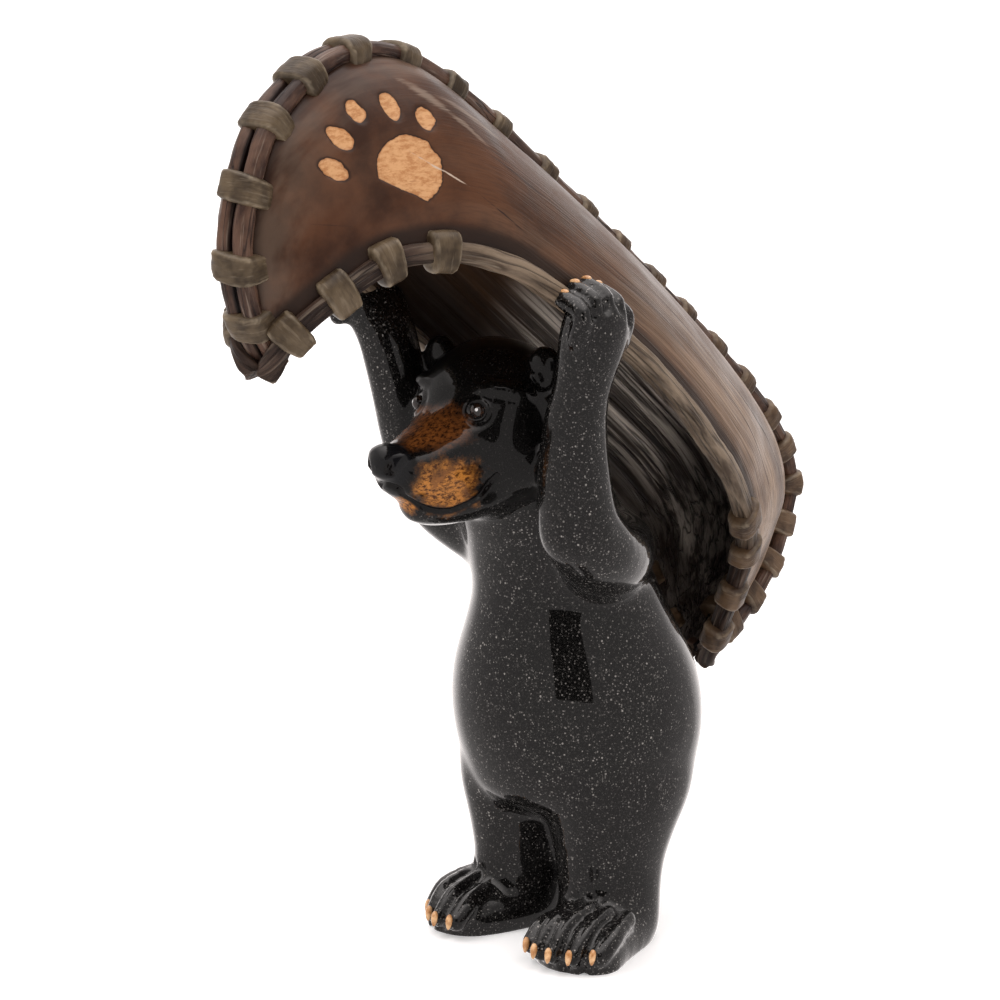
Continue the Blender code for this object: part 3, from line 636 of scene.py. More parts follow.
def stickFinish():
    finish, tree, shader = newFinish("stickBark", {"Roughness": 0.36, "Specular IOR Level": 0.35})
    place = grainPlace(tree)
    here = ownPlace(tree)
    grain = useGroup(tree, barkGrain, {"Place": place, "Streak scale": 1300.0, "Crack scale": 330.0,
                                       "Crack width": 0.022})
    wearAndShade = useGroup(tree, edgeWearAndShade, {"Place": here, "Patch scale": 500.0})
    blotches = noiseValue(tree, place, 170.0, detail=5.0, stretch=(0.5, 1.0, 1.0))
    colour = blendColour(tree, ramp(tree, blotches, 0.36, 0.66), (0.022, 0.009, 0.006), (0.100, 0.053, 0.034))
    pale = ramp(tree, grain.outputs["Streaks"], 0.55, 0.70)
    colour = blendColour(tree, times(tree, pale, 0.55), colour, (0.23, 0.175, 0.135))
    colour = blendColour(tree, times(tree, wearAndShade.outputs["Edges"], 0.35), colour, (0.24, 0.18, 0.14))
    colour = blendColour(tree, times(tree, grain.outputs["Cracks"], 0.8), colour, (0.008, 0.004, 0.004))
    parts = axesOf(tree, here)
    # Painted shade: a dark line down the middle, where the two sticks meet.
    gap = calc(tree, "ABSOLUTE", calc(tree, "SUBTRACT", parts[0], figure["shift"][0]))
    colour = blendColour(tree, ramp(tree, gap, 0.0011, 0.0004), colour, (0.006, 0.003, 0.003))
    tree.links.new(colour, shader.inputs["Base Color"])
    relief = calc(tree, "SUBTRACT", grain.outputs["Streaks"], grain.outputs["Cracks"])
    tree.links.new(bumpFrom(tree, relief, 0.5, 0.0006), shader.inputs["Normal"])
    return finish


def buildSticks(finish):
    stationAt, length = evenStations(keelAt)
    bm = bmesh.new()
    for side in (1, -1):
        def placeAt(share, angle):
            distance = share * length
            station = stationAt(distance)
            cosine = math.cos(angle)
            sine = math.sin(angle)
            bark = noise.fractal(Vector((distance * 90, cosine * 2 + side * 9, sine * 2)), 0.9, 2.0, 3)
            ridge = noise.noise(Vector((distance * 60, cosine * 5 + side * 5, sine * 5)))
            radius = (canoe["stickRadius"] - sticks["thinner"] + sticks["knots"] * bark
                      + sticks["ridges"] * ridge)
            across = side * canoe["stickSpread"] + radius * cosine
            point = keelAt(station) + outwardAt(station) * radius * sine + Vector((across, 0, 0))
            return canoeToRow(point), (distance, radius * cosine + side, radius * sine)
        bentCylinder(bm, sticks["sides"], sticks["cuts"], placeAt)
    bmesh.ops.recalc_face_normals(bm, faces=bm.faces)
    return makePiece("stem_sticks", bm, [finish], 70)


lashings = {
    "width": 0.0070,            # along the stick
    "stemGrip": 0.0090, "keelGrip": 0.0030,   # how far one reaches down the hull
    "railGrip": 0.0014,         # how much further a rail lashing reaches up the hull, and hangs down
    # distance along the stems and keel, in millimetres
    "stemPlaces": (12, 26, 44, 61, 76, 92.5, 109, 128, 147, 167, 186.5, 204, 221, 238, 255, 272.5, 288.5, 302,
                   314, 325, 337, 350, 362),
    "railCount": 4, "railPitch": 0.0142, "firstRail": 0.0125,
    "sides": 40, "cuts": 13,
    "lip": 0.00028,             # how far the rolled edges stand up
    "skew": 0.16,               # most that one is turned, in radians
}


def lashingFinish():
    finish, tree, shader = newFinish("hideLashing", {"Roughness": 0.42, "Specular IOR Level": 0.35})
    place = grainPlace(tree)
    here = ownPlace(tree)
    wearAndShade = useGroup(tree, edgeWearAndShade, {"Place": here, "Patch scale": 420.0})
    fibres = noiseValue(tree, place, 1500.0, detail=4.0, stretch=(1.0, 0.12, 0.12))
    blotches = noiseValue(tree, here, 130.0, detail=3.0)
    back = axesOf(tree, here)[1]
    khaki = blendColour(tree, ramp(tree, blotches, 0.34, 0.66), (0.034, 0.021, 0.010), (0.098, 0.068, 0.038))
    brown = blendColour(tree, ramp(tree, blotches, 0.34, 0.66), (0.034, 0.018, 0.009), (0.110, 0.066, 0.036))
    colour = blendColour(tree, ramp(tree, back, -0.04, 0.06), khaki, brown)
    colour = blendColour(tree, times(tree, ramp(tree, fibres, 0.54, 0.72), 0.3), colour, (0.23, 0.18, 0.125))
    dark = times(tree, ramp(tree, fibres, 0.46, 0.34), 0.3)
    colour = blendColour(tree, dark, colour, (0.022, 0.012, 0.007))
    colour = blendColour(tree, times(tree, wearAndShade.outputs["Edges"], 0.75), colour, (0.38, 0.31, 0.22))
    # Painted shade in the hollows between the lashing's folds.
    colour = blendColour(tree, times(tree, wearAndShade.outputs["Shaded hollows"], 0.9), colour, (0.014, 0.008, 0.005))
    tree.links.new(colour, shader.inputs["Base Color"])
    tree.links.new(bumpFrom(tree, fibres, 0.45, 0.0005), shader.inputs["Normal"])
    return finish


def addLashing(bm, curve, stationAt, frameAt, centre, halfAcross, outside, inside, number):
    skew = random.uniform(-1, 1) * lashings["skew"]
    half = lashings["width"] / 2 * random.uniform(0.94, 1.08)
    swell = random.uniform(0.97, 1.04)

    def placeAt(share, angle):
        run = 2 * share - 1
        body = (1 - abs(run) ** 3.4) ** 0.42 if abs(run) < 1 else 0.0
        shrink = 0.66 + 0.36 * body
        lip = lashings["lip"] * (ease(0.45, 0.8, abs(run)) - 0.3)
        out = math.sin(angle)
        reach = (outside if out > 0 else inside) * swell
        across = (halfAcross * shrink + lip) * signedPower(math.cos(angle), 0.7)
        rise = (reach * shrink + lip) * signedPower(out, 0.8)
        rough = noise.fractal(Vector((run * 1.2 + number * 7, math.cos(angle) * 1.8, out * 1.8)), 0.8, 2.0, 3)
        distance = centre + half * run + skew * across
        station = stationAt(distance)
        acrossWay, outWay = frameAt(station)
        point = curve(station) + acrossWay * across * (1 + 0.05 * rough) + outWay * rise * (1 + 0.04 * rough)
        return canoeToRow(point), (distance + number, across, rise)

    bentCylinder(bm, lashings["sides"], lashings["cuts"], placeAt)


def stemFrame(station):
    return Vector((1.0, 0.0, 0.0)), outwardAt(station)


def buildStemLashings(finish):
    stationAt = evenStations(keelAt)[0]
    bm = bmesh.new()
    halfAcross = canoe["stickSpread"] + canoe["stickRadius"] + canoe["lashThickness"]
    outside = canoe["stickRadius"] + canoe["lashThickness"]
    for number, millimetres in enumerate(lashings["stemPlaces"]):
        centre = millimetres / 1000
        narrow = 1 - fullnessAt(stationAt(centre))
        grip = lashings["keelGrip"] + (lashings["stemGrip"] - lashings["keelGrip"]) * min(1.0, 1.6 * narrow)
        addLashing(bm, keelAt, stationAt, stemFrame, centre, halfAcross, outside, grip, number)
    bmesh.ops.recalc_face_normals(bm, faces=bm.faces)
    return makePiece("stem_lashings", bm, [finish], 60)


def railFrame(side):
    @functools.lru_cache(maxsize=None)
    def frameAt(station):
        run = gunwaleAt(min(station + 0.05, lastStation), side) - gunwaleAt(max(station - 0.05, 0), side)
        run.normalize()
        climb = hullPoint(station, 0.25, side) - gunwaleAt(station, side)
        climb -= run * climb.dot(run)
        climb.normalize()
        return run.cross(climb), climb
    return frameAt


def buildRailLashings(finish):
    bm = bmesh.new()
    wide = canoe["railRadius"] + canoe["lashThickness"]
    for side in (1, -1):
        def curve(station):
            return gunwaleAt(station, side)
        stationAt, length = evenStations(curve)
        centres = [lashings["firstRail"] + lashings["railPitch"] * k for k in range(lashings["railCount"])]
        centres += [length - centre for centre in centres]
        for number, centre in enumerate(centres):
            addLashing(bm, curve, stationAt, railFrame(side), centre, wide, wide + lashings["railGrip"],
                       wide + lashings["railGrip"], 30 + number + 10 * side)
    bmesh.ops.recalc_face_normals(bm, faces=bm.faces)
    return makePiece("rail_lashings", bm, [finish], 60)


rails = {
    "sides": 24, "cuts": 420,
    "flatness": 0.55,           # below 1 squares the section
    "thinner": 0.0002,          # how much it is thinner than its outline
    "chips": 0.00028,
}


def railFinish():
    finish, tree, shader = newFinish("weatheredRail", {"Roughness": 0.48, "Specular IOR Level": 0.25})
    place = grainPlace(tree)
    here = ownPlace(tree)
    grain = useGroup(tree, barkGrain, {"Place": place, "Streak scale": 1100.0, "Crack scale": 420.0,
                                       "Crack width": 0.05})
    wearAndShade = useGroup(tree, edgeWearAndShade, {"Place": here, "Patch scale": 260.0})
    blotches = noiseValue(tree, place, 230.0, detail=5.0, stretch=(0.22, 1.0, 1.0))
    distance = axesOf(tree, place)[0]
    middle = times(tree, ramp(tree, distance, 0.045, 0.060), ramp(tree, distance, 0.215, 0.200))
    bark = blendColour(tree, ramp(tree, blotches, 0.35, 0.68), (0.014, 0.007, 0.005), (0.072, 0.043, 0.030))
    plank = blendColour(tree, ramp(tree, blotches, 0.32, 0.66), (0.050, 0.032, 0.020), (0.200, 0.148, 0.102))
    colour = blendColour(tree, middle, bark, plank)
    pale = ramp(tree, grain.outputs["Streaks"], 0.52, 0.70)
    colour = blendColour(tree, times(tree, pale, 0.35), colour, (0.24, 0.19, 0.14))
    colour = blendColour(tree, times(tree, wearAndShade.outputs["Edges"], 0.55), colour, (0.36, 0.30, 0.23))
    colour = blendColour(tree, times(tree, grain.outputs["Cracks"], 0.7), colour, (0.016, 0.009, 0.006))
    tree.links.new(colour, shader.inputs["Base Color"])
    relief = calc(tree, "SUBTRACT", grain.outputs["Streaks"], grain.outputs["Cracks"])
    tree.links.new(bumpFrom(tree, relief, 0.6, 0.0006), shader.inputs["Normal"])
    return finish


def buildRails(finish):
    bm = bmesh.new()
    for side in (1, -1):
        def curve(station):
            return gunwaleAt(station, side)
        stationAt, length = evenStations(curve)
        frameAt = railFrame(side)

        def placeAt(share, angle):
            distance = share * length
            station = stationAt(distance)
            acrossWay, outWay = frameAt(station)
            cosine = signedPower(math.cos(angle), rails["flatness"])
            sine = signedPower(math.sin(angle), rails["flatness"])
            chip = noise.fractal(Vector((distance * 70, cosine * 2.2 + side * 6, sine * 2.2)), 0.8, 2.0, 3)
            radius = canoe["railRadius"] - rails["thinner"] + rails["chips"] * chip
            point = curve(station) + acrossWay * radius * cosine + outWay * radius * sine
            return canoeToRow(point), (distance, radius * cosine + side, radius * sine)
        bentCylinder(bm, rails["sides"], rails["cuts"], placeAt)
    bmesh.ops.recalc_face_normals(bm, faces=bm.faces)
    return makePiece("gunwale_rails", bm, [finish], 70)


buildHull()
print("hull built")
lashingPaint = lashingFinish()
buildSticks(stickFinish())
buildStemLashings(lashingPaint)
buildRails(railFinish())
buildRailLashings(lashingPaint)
print("sticks, rails and lashings built")


# The bear, in shares of the figure's height: a chain is a run of soft masses,
# each with its middle (x, y, z) and its half sizes across, along y and up

bear = {
    "massVoxel": 0.0016, "massSmoothing": 18,
    "carvingVoxel": 0.00095, "carvingSmoothing": 4,
    "holdStation": 7.35,        # where along the gunwale a paw holds
    "torso": ((0.000, 0.134, 0.188, 0.128, 0.128, 0.060), (0.000, 0.131, 0.228, 0.138, 0.138, 0.060),
              (0.000, 0.127, 0.267, 0.139, 0.140, 0.060), (0.000, 0.122, 0.305, 0.132, 0.133, 0.055),
              (0.000, 0.114, 0.350, 0.113, 0.117, 0.050), (0.000, 0.108, 0.385, 0.102, 0.105, 0.050),
              (0.000, 0.096, 0.420, 0.098, 0.098, 0.050), (0.000, 0.080, 0.455, 0.094, 0.092, 0.050),
              (0.000, 0.055, 0.495, 0.084, 0.088, 0.055), (0.000, 0.030, 0.540, 0.080, 0.085, 0.060)),
    "skull": ((0.000, -0.008, 0.590, 0.086, 0.086, 0.086), (0.000, -0.030, 0.575, 0.080, 0.072, 0.072)),
    "muzzle": ((0.000, -0.060, 0.566, 0.058, 0.050, 0.050), (0.000, -0.095, 0.557, 0.050, 0.044, 0.044),
               (0.000, -0.125, 0.550, 0.043, 0.037, 0.037), (0.000, -0.150, 0.549, 0.036, 0.028, 0.031)),
    "jaw": ((0.000, -0.045, 0.522, 0.055, 0.045, 0.036), (0.000, -0.085, 0.511, 0.042, 0.035, 0.027),
            (0.000, -0.118, 0.508, 0.031, 0.026, 0.021)),
    "cheek": ((0.050, -0.015, 0.555, 0.042, 0.048, 0.048),),
    "thigh": ((0.060, 0.130, 0.215, 0.066, 0.108, 0.050), (0.064, 0.127, 0.172, 0.068, 0.098, 0.050),
              (0.062, 0.119, 0.125, 0.062, 0.078, 0.040), (0.061, 0.114, 0.085, 0.056, 0.066, 0.036),
              (0.063, 0.112, 0.050, 0.054, 0.061, 0.034), (0.065, 0.110, 0.016, 0.053, 0.060, 0.034)),
    "leftFoot": ((0.068, 0.100, 0.014, 0.053, 0.058, 0.046), (0.080, 0.055, 0.013, 0.055, 0.048, 0.046),
                 (0.093, 0.022, 0.010, 0.055, 0.040, 0.042)),
    "rightFoot": ((-0.066, 0.102, 0.014, 0.053, 0.058, 0.046), (-0.075, 0.060, 0.013, 0.052, 0.048, 0.046),
                  (-0.082, 0.032, 0.010, 0.048, 0.040, 0.042)),
    "leftArm": ((0.070, 0.090, 0.440, 0.055, 0.060, 0.052), (0.100, 0.055, 0.445, 0.050, 0.052, 0.048),
                (0.122, 0.010, 0.462, 0.046, 0.046, 0.044), (0.128, -0.022, 0.488, 0.043, 0.044, 0.044)),
    "rightArm": ((-0.070, 0.092, 0.445, 0.055, 0.060, 0.052), (-0.090, 0.065, 0.458, 0.048, 0.050, 0.046),
                 (-0.104, 0.030, 0.482, 0.043, 0.044, 0.042), (-0.108, 0.005, 0.510, 0.040, 0.041, 0.042)),
    # share of the way from elbow to hold, then out and back from that line, then half sizes
    "leftForearm": ((0.00, 0.000, 0.000, 0.042, 0.044, 0.042), (0.25, -0.001, -0.004, 0.038, 0.040, 0.036),
                    (0.48, 0.002, -0.004, 0.033, 0.035, 0.032), (0.63, 0.010, -0.002, 0.029, 0.032, 0.028),
                    (0.77, 0.015, 0.004, 0.031, 0.037, 0.028), (0.89, 0.018, 0.011, 0.032, 0.043, 0.028),
                    (0.96, 0.018, 0.015, 0.030, 0.041, 0.025)),
    "rightForearm": ((0.00, 0.000, 0.000, 0.040, 0.042, 0.042), (0.25, -0.004, -0.004, 0.038, 0.040, 0.036),
                     (0.48, -0.006, -0.004, 0.034, 0.036, 0.032), (0.63, -0.004, -0.002, 0.032, 0.034, 0.028),
                     (0.77, -0.001, 0.004, 0.031, 0.036, 0.028), (0.89, 0.011, 0.011, 0.030, 0.042, 0.028),
                     (0.96, 0.015, 0.015, 0.029, 0.040, 0.025)),
    "nose": ((0.000, -0.168, 0.567, 0.027, 0.017, 0.013), (0.000, -0.175, 0.558, 0.022, 0.014, 0.016)),
    "ear": ((0.074, -0.012, 0.648, 0.022, 0.013, 0.024),),
    "brow": ((0.020, -0.068, 0.620, 0.015, 0.014, 0.011), (0.044, -0.062, 0.630, 0.018, 0.012, 0.009),
             (0.064, -0.040, 0.622, 0.013, 0.014, 0.011)),
    "mouth": ((0.000, -0.178, 0.536), (0.014, -0.170, 0.534), (0.013, -0.160, 0.524), (0.015, -0.144, 0.515),
              (0.0196, -0.137, 0.511), (0.0267, -0.1265, 0.507), (0.0314, -0.112, 0.506),
              (0.0356, -0.101, 0.509),
              (0.040, -0.091, 0.5125), (0.044, -0.0795, 0.520), (0.050, -0.071, 0.533),
              (0.056, -0.067, 0.5405)),
    "lipWidth": 0.0011, "lipDepth": 0.0009,
    "toeGroove": (0.0019, 0.0013), "fingerGroove": (0.0015, 0.0010),   # half width, depth
    "nostril": ((0.019, -0.190, 0.561), (0.015, -0.190, 0.553), (0.019, -0.186, 0.548)),
    "nostrilWidth": 0.0011, "nostrilDepth": 0.0012,
    "eye": (0.041, -0.082, 0.608),
    "eyeRadius": 0.0080,
    "lidRings": ((0.0112, 0.0028, 0.00026), (0.0165, 0.0036, -0.00018)),   # radius, width (shares), height
    # front ends of the toes: x and y, then the height of the knuckle behind each
    "leftToes": ((0.057, -0.010, 0.044), (0.077, -0.020, 0.051), (0.098, -0.021, 0.053),
                 (0.119, -0.012, 0.050), (0.137, 0.006, 0.043)),
    "rightToes": ((-0.056, -0.010, 0.044), (-0.076, -0.012, 0.050), (-0.094, -0.002, 0.051),
                  (-0.110, 0.014, 0.048), (-0.122, 0.034, 0.042)),
    "toeRadius": 0.0125, "toeLength": 0.060, "toeFrontHeight": 0.021,
    "footMiddle": 0.086, "toeGather": 0.72,
    # back from the hold, and how high the knuckle stands over the hold
    "fingers": ((-0.022, 0.004), (-0.005, 0.013), (0.013, 0.015), (0.030, 0.009), (0.044, -0.004)),
    "fingerRadius": 0.0105,
    "fingerPath": ((0.024, -0.036), (0.030, -0.008), (0.006, 0.004)),
}


def addMass(bm, values, detail):
    made = bmesh.ops.create_icosphere(bm, subdivisions=detail, radius=1.0)
    halfSizes = Vector(values[3:]) * figure["height"]
    place = Matrix.Translation(toRow(values[:3])) @ Matrix.Diagonal((*halfSizes, 1.0))
    bmesh.ops.transform(bm, matrix=place, verts=made["verts"])


def addChain(bm, chain, sides=(1,), detail=4):
    links = 4
    for side in sides:
        for k in range((len(chain) - 1) * links + 1):
            x, y, z, *halfSizes = spline(chain, k / links)
            addMass(bm, (side * x, y, z, *halfSizes), detail)


def holdPlace(side):   # where a paw holds the gunwale, in shares of the height
    return (canoeToRow(gunwaleAt(bear["holdStation"], side)) - Vector(figure["shift"])) / figure["height"]


def forearmLinks(side, upperArm, forearm):
    hold = holdPlace(side)
    elbow = Vector(upperArm[-1][:3])
    links = []
    for reach, out, back, *halfSizes in forearm:
        links.append((*(elbow.lerp(hold, reach) + Vector((side * out, back, 0))), *halfSizes))
    return links


def toeLinks(end):
    x, y, knuckle = end
    middle = math.copysign(bear["footMiddle"], x)
    inner = middle + bear["toeGather"] * (x - middle)
    size = (bear["toeRadius"],) * 3
    return ((inner, y + bear["toeLength"], knuckle, *size), (x, y + 0.020, knuckle - 0.008, *size),
            (x, y, bear["toeFrontHeight"], *size))


def fingerLinks(side, place):
    back, above = place
    hold = holdPlace(side)
    size = (bear["fingerRadius"],) * 3
    return [(hold.x + side * out, hold.y + back, hold.z + above + up, *size) for out,
            up in bear["fingerPath"]]


def runTogether(obj, voxel, rounds):
    remesh = obj.modifiers.new("runTogether", "REMESH")
    remesh.mode = "VOXEL"
    remesh.voxel_size = voxel
    smooth = obj.modifiers.new("smooth", "SMOOTH")
    smooth.factor = 0.5
    smooth.iterations = rounds
    applyModifiers(obj)


def linePoints(tree, lines):   # points close together along lines, brought onto the surface
    spots = []
    for line in lines:
        steps = 24 * (len(line) - 1)
        for k in range(steps + 1):
            spots.append(tree.find_nearest(Vector(spline(line, (len(line) - 1) * k / steps)))[0])
    return spots


def carveLines(bm, lines, width, depth, mark=None):   # sinks the surface along lines, in row metres
    spots = linePoints(bvhtree.BVHTree.FromBMesh(bm), lines)
    near = kdtree.KDTree(len(spots))
    for number, spot in enumerate(spots):
        near.insert(spot, number)
    near.balance()
    bm.normal_update()
    moves = []
    for vert in bm.verts:
        distance = near.find(vert.co)[2]
        if distance < width:
            share = 1 - ease(0.0, 1.0, distance / width)
            moves.append((vert, vert.normal * depth * share))
        if mark:
            vert[mark] = max(vert[mark], 1 - distance / (1.6 * width))
    for vert, move in moves:
        vert.co -= move


def raiseRing(bm, middle, radius, width, height):   # a soft ring on the surface around a point
    bm.normal_update()
    for vert in bm.verts:
        off = ((vert.co - middle).length - radius) / width
        if abs(off) < 2.5:
            vert.co += vert.normal * height * math.exp(-off * off)


def toeGrooves():
    lines = []
    for toes in (bear["leftToes"], bear["rightToes"]):
        for first, second in zip(toes, toes[1:]):
            pairs = zip(toeLinks(first), toeLinks(second))
            middle = [(Vector(a[:3]) + Vector(b[:3])) / 2 for a, b in pairs]
            middle[0] += Vector((0, 0.012, 0.006))
            middle[1] += Vector((0, -0.004, 0.006))
            middle[2] += Vector((0, -0.008, -0.004))
            lines.append([toRow(point) for point in middle] + [toRow(middle[2] + Vector((0, 0.002, -0.014)))])
    return lines


def fingerGrooves():
    lines = []
    for side in (1, -1):
        for first, second in zip(bear["fingers"], bear["fingers"][1:]):
            pairs = zip(fingerLinks(side, first), fingerLinks(side, second))
            middle = [(Vector(a[:3]) + Vector(b[:3])) / 2 for a, b in pairs]
            middle[0] += Vector((side * 0.008, 0, 0.016))
            middle[1] += Vector((side * 0.004, 0, 0.004))
            middle[2] += Vector((0, 0, 0.006))
            lines.append([toRow(point) for point in middle])
    return lines


def refine(bm, low, high):   # halves the faces inside a box
    inside = [edge for edge in bm.edges
              if all(all(a <= c <= b for a, c, b in zip(low, vert.co, high)) for vert in edge.verts)]
    bmesh.ops.subdivide_edges(bm, edges=inside, cuts=1, use_grid_fill=True, smooth=0.0)


def bearFinish():
    finish, tree, shader = newFinish("glossBlackResin", {"Roughness": 0.35, "Specular IOR Level": 0.05,
                                                         "Coat Roughness": 0.035})
    here = ownPlace(tree)
    oneSide = bothSides(tree, here)
    parts = axesOf(tree, here)
    cloud = noiseValue(tree, here, 45.0, detail=3.0)
    offMiddle = calc(tree, "ABSOLUTE", calc(tree, "SUBTRACT", parts[0], figure["shift"][0]))
    inFront = times(tree, ramp(tree, parts[1], -0.002, -0.012), ramp(tree, offMiddle, 0.0255, 0.0225))
    headMask = times(tree, ramp(tree, parts[2], 0.116, 0.124), inFront)
    flecked = calc(tree, "MULTIPLY_ADD", headMask, -0.9, 1.0)
    colour = (0.0034, 0.0031, 0.0030)
    fleckPaint = (0.34, 0.32, 0.30)
    layers = ((2100.0, 0.15, 0.60, 0.60), (1250.0, 0.45, 0.46, 0.95), (760.0, 0.72, 0.30, 1.00))
    for scale, least, most, bright in layers:
        cells = addNode(tree, "ShaderNodeTexVoronoi", {"Vector": here, "Scale": scale})
        chance = addNode(tree, "ShaderNodeSeparateColor", {0: cells.outputs["Color"]})
        size = ramp(tree, chance.outputs[0], least, 1.0, 0.0, most)
        fleck = ramp(tree, calc(tree, "SUBTRACT", size, cells.outputs["Distance"]), 0.0, 0.22)
        glow = times(tree, calc(tree, "POWER", chance.outputs[1], 2.6), bright)
        glow = times(tree, glow, ramp(tree, cloud, 0.30, 0.65, 0.45, 1.0))
        share = times(tree, times(tree, fleck, glow), flecked)
        colour = blendColour(tree, share, colour, fleckPaint)
    fine = noiseValue(tree, here, 1900.0, detail=2.0, roughness=0.7)
    fine = times(tree, times(tree, ramp(tree, fine, 0.52, 0.72), 0.06), flecked)
    colour = blendColour(tree, fine, colour, fleckPaint)
    stipple = noiseValue(tree, here, 1300.0, detail=4.0, roughness=0.75, stretch=(1.0, 0.45, 1.0))
    blotch = noiseValue(tree, here, 210.0, detail=5.0)
    gold = blendColour(tree, ramp(tree, stipple, 0.38, 0.60), (0.050, 0.015, 0.003), (0.40, 0.155, 0.028))
    gold = blendColour(tree, ramp(tree, blotch, 0.50, 0.66), gold, (0.20, 0.075, 0.018))
    rust = blendColour(tree, ramp(tree, stipple, 0.36, 0.62), (0.012, 0.004, 0.002), (0.230, 0.075, 0.018))
    areas = (((0.012, -0.118, 0.590), (0.034, 0.050, 0.026), rust, 0.55),
             ((0.040, -0.124, 0.532), (0.030, 0.042, 0.033), gold, 0.45),
             ((0.004, -0.153, 0.512), (0.022, 0.016, 0.016), gold, 0.40))
    for middle, halfSizes, paint, soft in areas:
        ragged = awayFrom(tree, oneSide, toRow(middle), Vector(halfSizes) * figure["height"])
        ragged = calc(tree, "MULTIPLY_ADD", calc(tree, "SUBTRACT", blotch, 0.5), 1.6, ragged)
        ragged = calc(tree, "MULTIPLY_ADD", calc(tree, "SUBTRACT", stipple, 0.5), 1.0, ragged)
        colour = blendColour(tree, ramp(tree, ragged, 1.0 + soft / 2, 1.0 - soft), colour, paint)
    noseSize = Vector((0.036, 0.032, 0.031)) * figure["height"]
    away = awayFrom(tree, oneSide, toRow((0, -0.186, 0.560)), noseSize)
    colour = blendColour(tree, ramp(tree, away, 1.08, 0.95), colour, (0.005, 0.005, 0.006))
    lips = addNode(tree, "ShaderNodeAttribute", attribute_name="lipLine").outputs["Fac"]
    colour = blendColour(tree, ramp(tree, lips, 0.25, 0.60), colour, (0.003, 0.002, 0.002))
    tree.links.new(colour, shader.inputs["Base Color"])
    coat = calc(tree, "MULTIPLY_ADD", headMask, -0.30, 1.0)
    tree.links.new(coat, shader.inputs["Coat Weight"])
    return finish


def buildBear():
    bm = bmesh.new()
    for chain in ("torso", "skull", "muzzle", "jaw", "leftFoot", "rightFoot"):
        addChain(bm, bear[chain])
    for chain in ("cheek", "thigh"):
        addChain(bm, bear[chain], (1, -1))
    for side, upperArm, forearm in ((1, bear["leftArm"], bear["leftForearm"]),
                                    (-1, bear["rightArm"], bear["rightForearm"])):
        addChain(bm, upperArm)
        addChain(bm, forearmLinks(side, upperArm, forearm))
    piece = makePiece("bear_body", bm, [])
    runTogether(piece, bear["massVoxel"], bear["massSmoothing"])
    bm = bmesh.new()
    bm.from_mesh(piece.data)
    addChain(bm, bear["nose"], detail=3)
    for chain in ("ear", "brow"):
        addChain(bm, bear[chain], (1, -1), detail=3)
    for end in bear["leftToes"] + bear["rightToes"]:
        addChain(bm, toeLinks(end), detail=3)
    for side in (1, -1):
        for place in bear["fingers"]:
            addChain(bm, fingerLinks(side, place), detail=3)
    bm.to_mesh(piece.data)
    bm.free()
    runTogether(piece, bear["carvingVoxel"], bear["carvingSmoothing"])
    print("bear's masses run together:", len(piece.data.polygons), "faces")

    bm = bmesh.new()
    bm.from_mesh(piece.data)
    bmesh.ops.bisect_plane(bm, geom=list(bm.verts) + list(bm.edges) + list(bm.faces), plane_co=(0, 0, 0),
                           plane_no=(0, 0, -1), clear_outer=True)
    bmesh.ops.holes_fill(bm, edges=[edge for edge in bm.edges if edge.is_boundary], sides=0)
    refine(bm, toRow((-0.09, -0.22, 0.49)), toRow((0.09, -0.05, 0.66)))
    painted = bm.verts.layers.float.new("lipLine")
    carveLines(bm, toeGrooves(), *bear["toeGroove"])
    carveLines(bm, fingerGrooves(), *bear["fingerGroove"])
    mouth = bear["mouth"]
    lips = [toRow(point) for point in [(-x, y, z) for x, y, z in reversed(mouth[1:])] + list(mouth)]
    carveLines(bm, [lips], bear["lipWidth"], bear["lipDepth"], painted)
    nostrils = [[toRow((side * x, y, z)) for x, y, z in bear["nostril"]] for side in (1, -1)]
    carveLines(bm, nostrils, bear["nostrilWidth"], bear["nostrilDepth"], painted)
    for side in (1, -1):
        x, y, z = bear["eye"]
        middle = toRow((side * x, y, z))
        for radius, width, height in bear["lidRings"]:
            raiseRing(bm, middle, radius * figure["height"], width * figure["height"], height)
    bmesh.ops.recalc_face_normals(bm, faces=bm.faces)
    bm.to_mesh(piece.data)
    bm.free()
    piece.data.materials.clear()
    piece.data.materials.append(bearFinish())
    piece.data.shade_smooth()
    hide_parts("bear")
    return piece


eyes = {
    "colour": (0.006, 0.005, 0.005),
    "sink": 0.0004,             # how far the ball sits back in its socket
    "sparkWay": (0.55, -0.80, 0.22), "sparkRadius": 0.00042,   # the painted point of light on each eye
}


def buildEyes():
    finish, tree, shader = newFinish("eyeGloss", {"Roughness": 0.08, "Coat Weight": 1.0,
                                                  "Coat Roughness": 0.02})
    here = ownPlace(tree)
    tone = noiseValue(tree, here, 900.0)
    colour = blendColour(tree, ramp(tree, tone, 0.4, 0.7), eyes["colour"], (0.030, 0.014, 0.008))
    reach = bear["eyeRadius"] * figure["height"]
    sink = Vector((0, eyes["sink"], 0))
    spark = toRow(bear["eye"]) + sink + Vector(eyes["sparkWay"]).normalized() * reach
    away = awayFrom(tree, bothSides(tree, here), spark, (eyes["sparkRadius"],) * 3)
    colour = blendColour(tree, ramp(tree, away, 1.1, 0.8), colour, (0.85, 0.85, 0.84))
    tree.links.new(colour, shader.inputs["Base Color"])
    bm = bmesh.new()
    for side in (1, -1):
        x, y, z = bear["eye"]
        made = bmesh.ops.create_uvsphere(bm, u_segments=32, v_segments=20, radius=reach)
        bmesh.ops.translate(bm, verts=made["verts"], vec=toRow((side * x, y, z)) + sink)
    return makePiece("eyes", bm, [finish])


claws = {
    "toeLength": 0.0042, "toeRadius": 0.0011,
    "fingerLength": 0.0028, "fingerRadius": 0.0009,
    "toeWay": (0.0, -0.15, -1.0), "fingerWay": (-1.0, -0.2, 0.05),
}


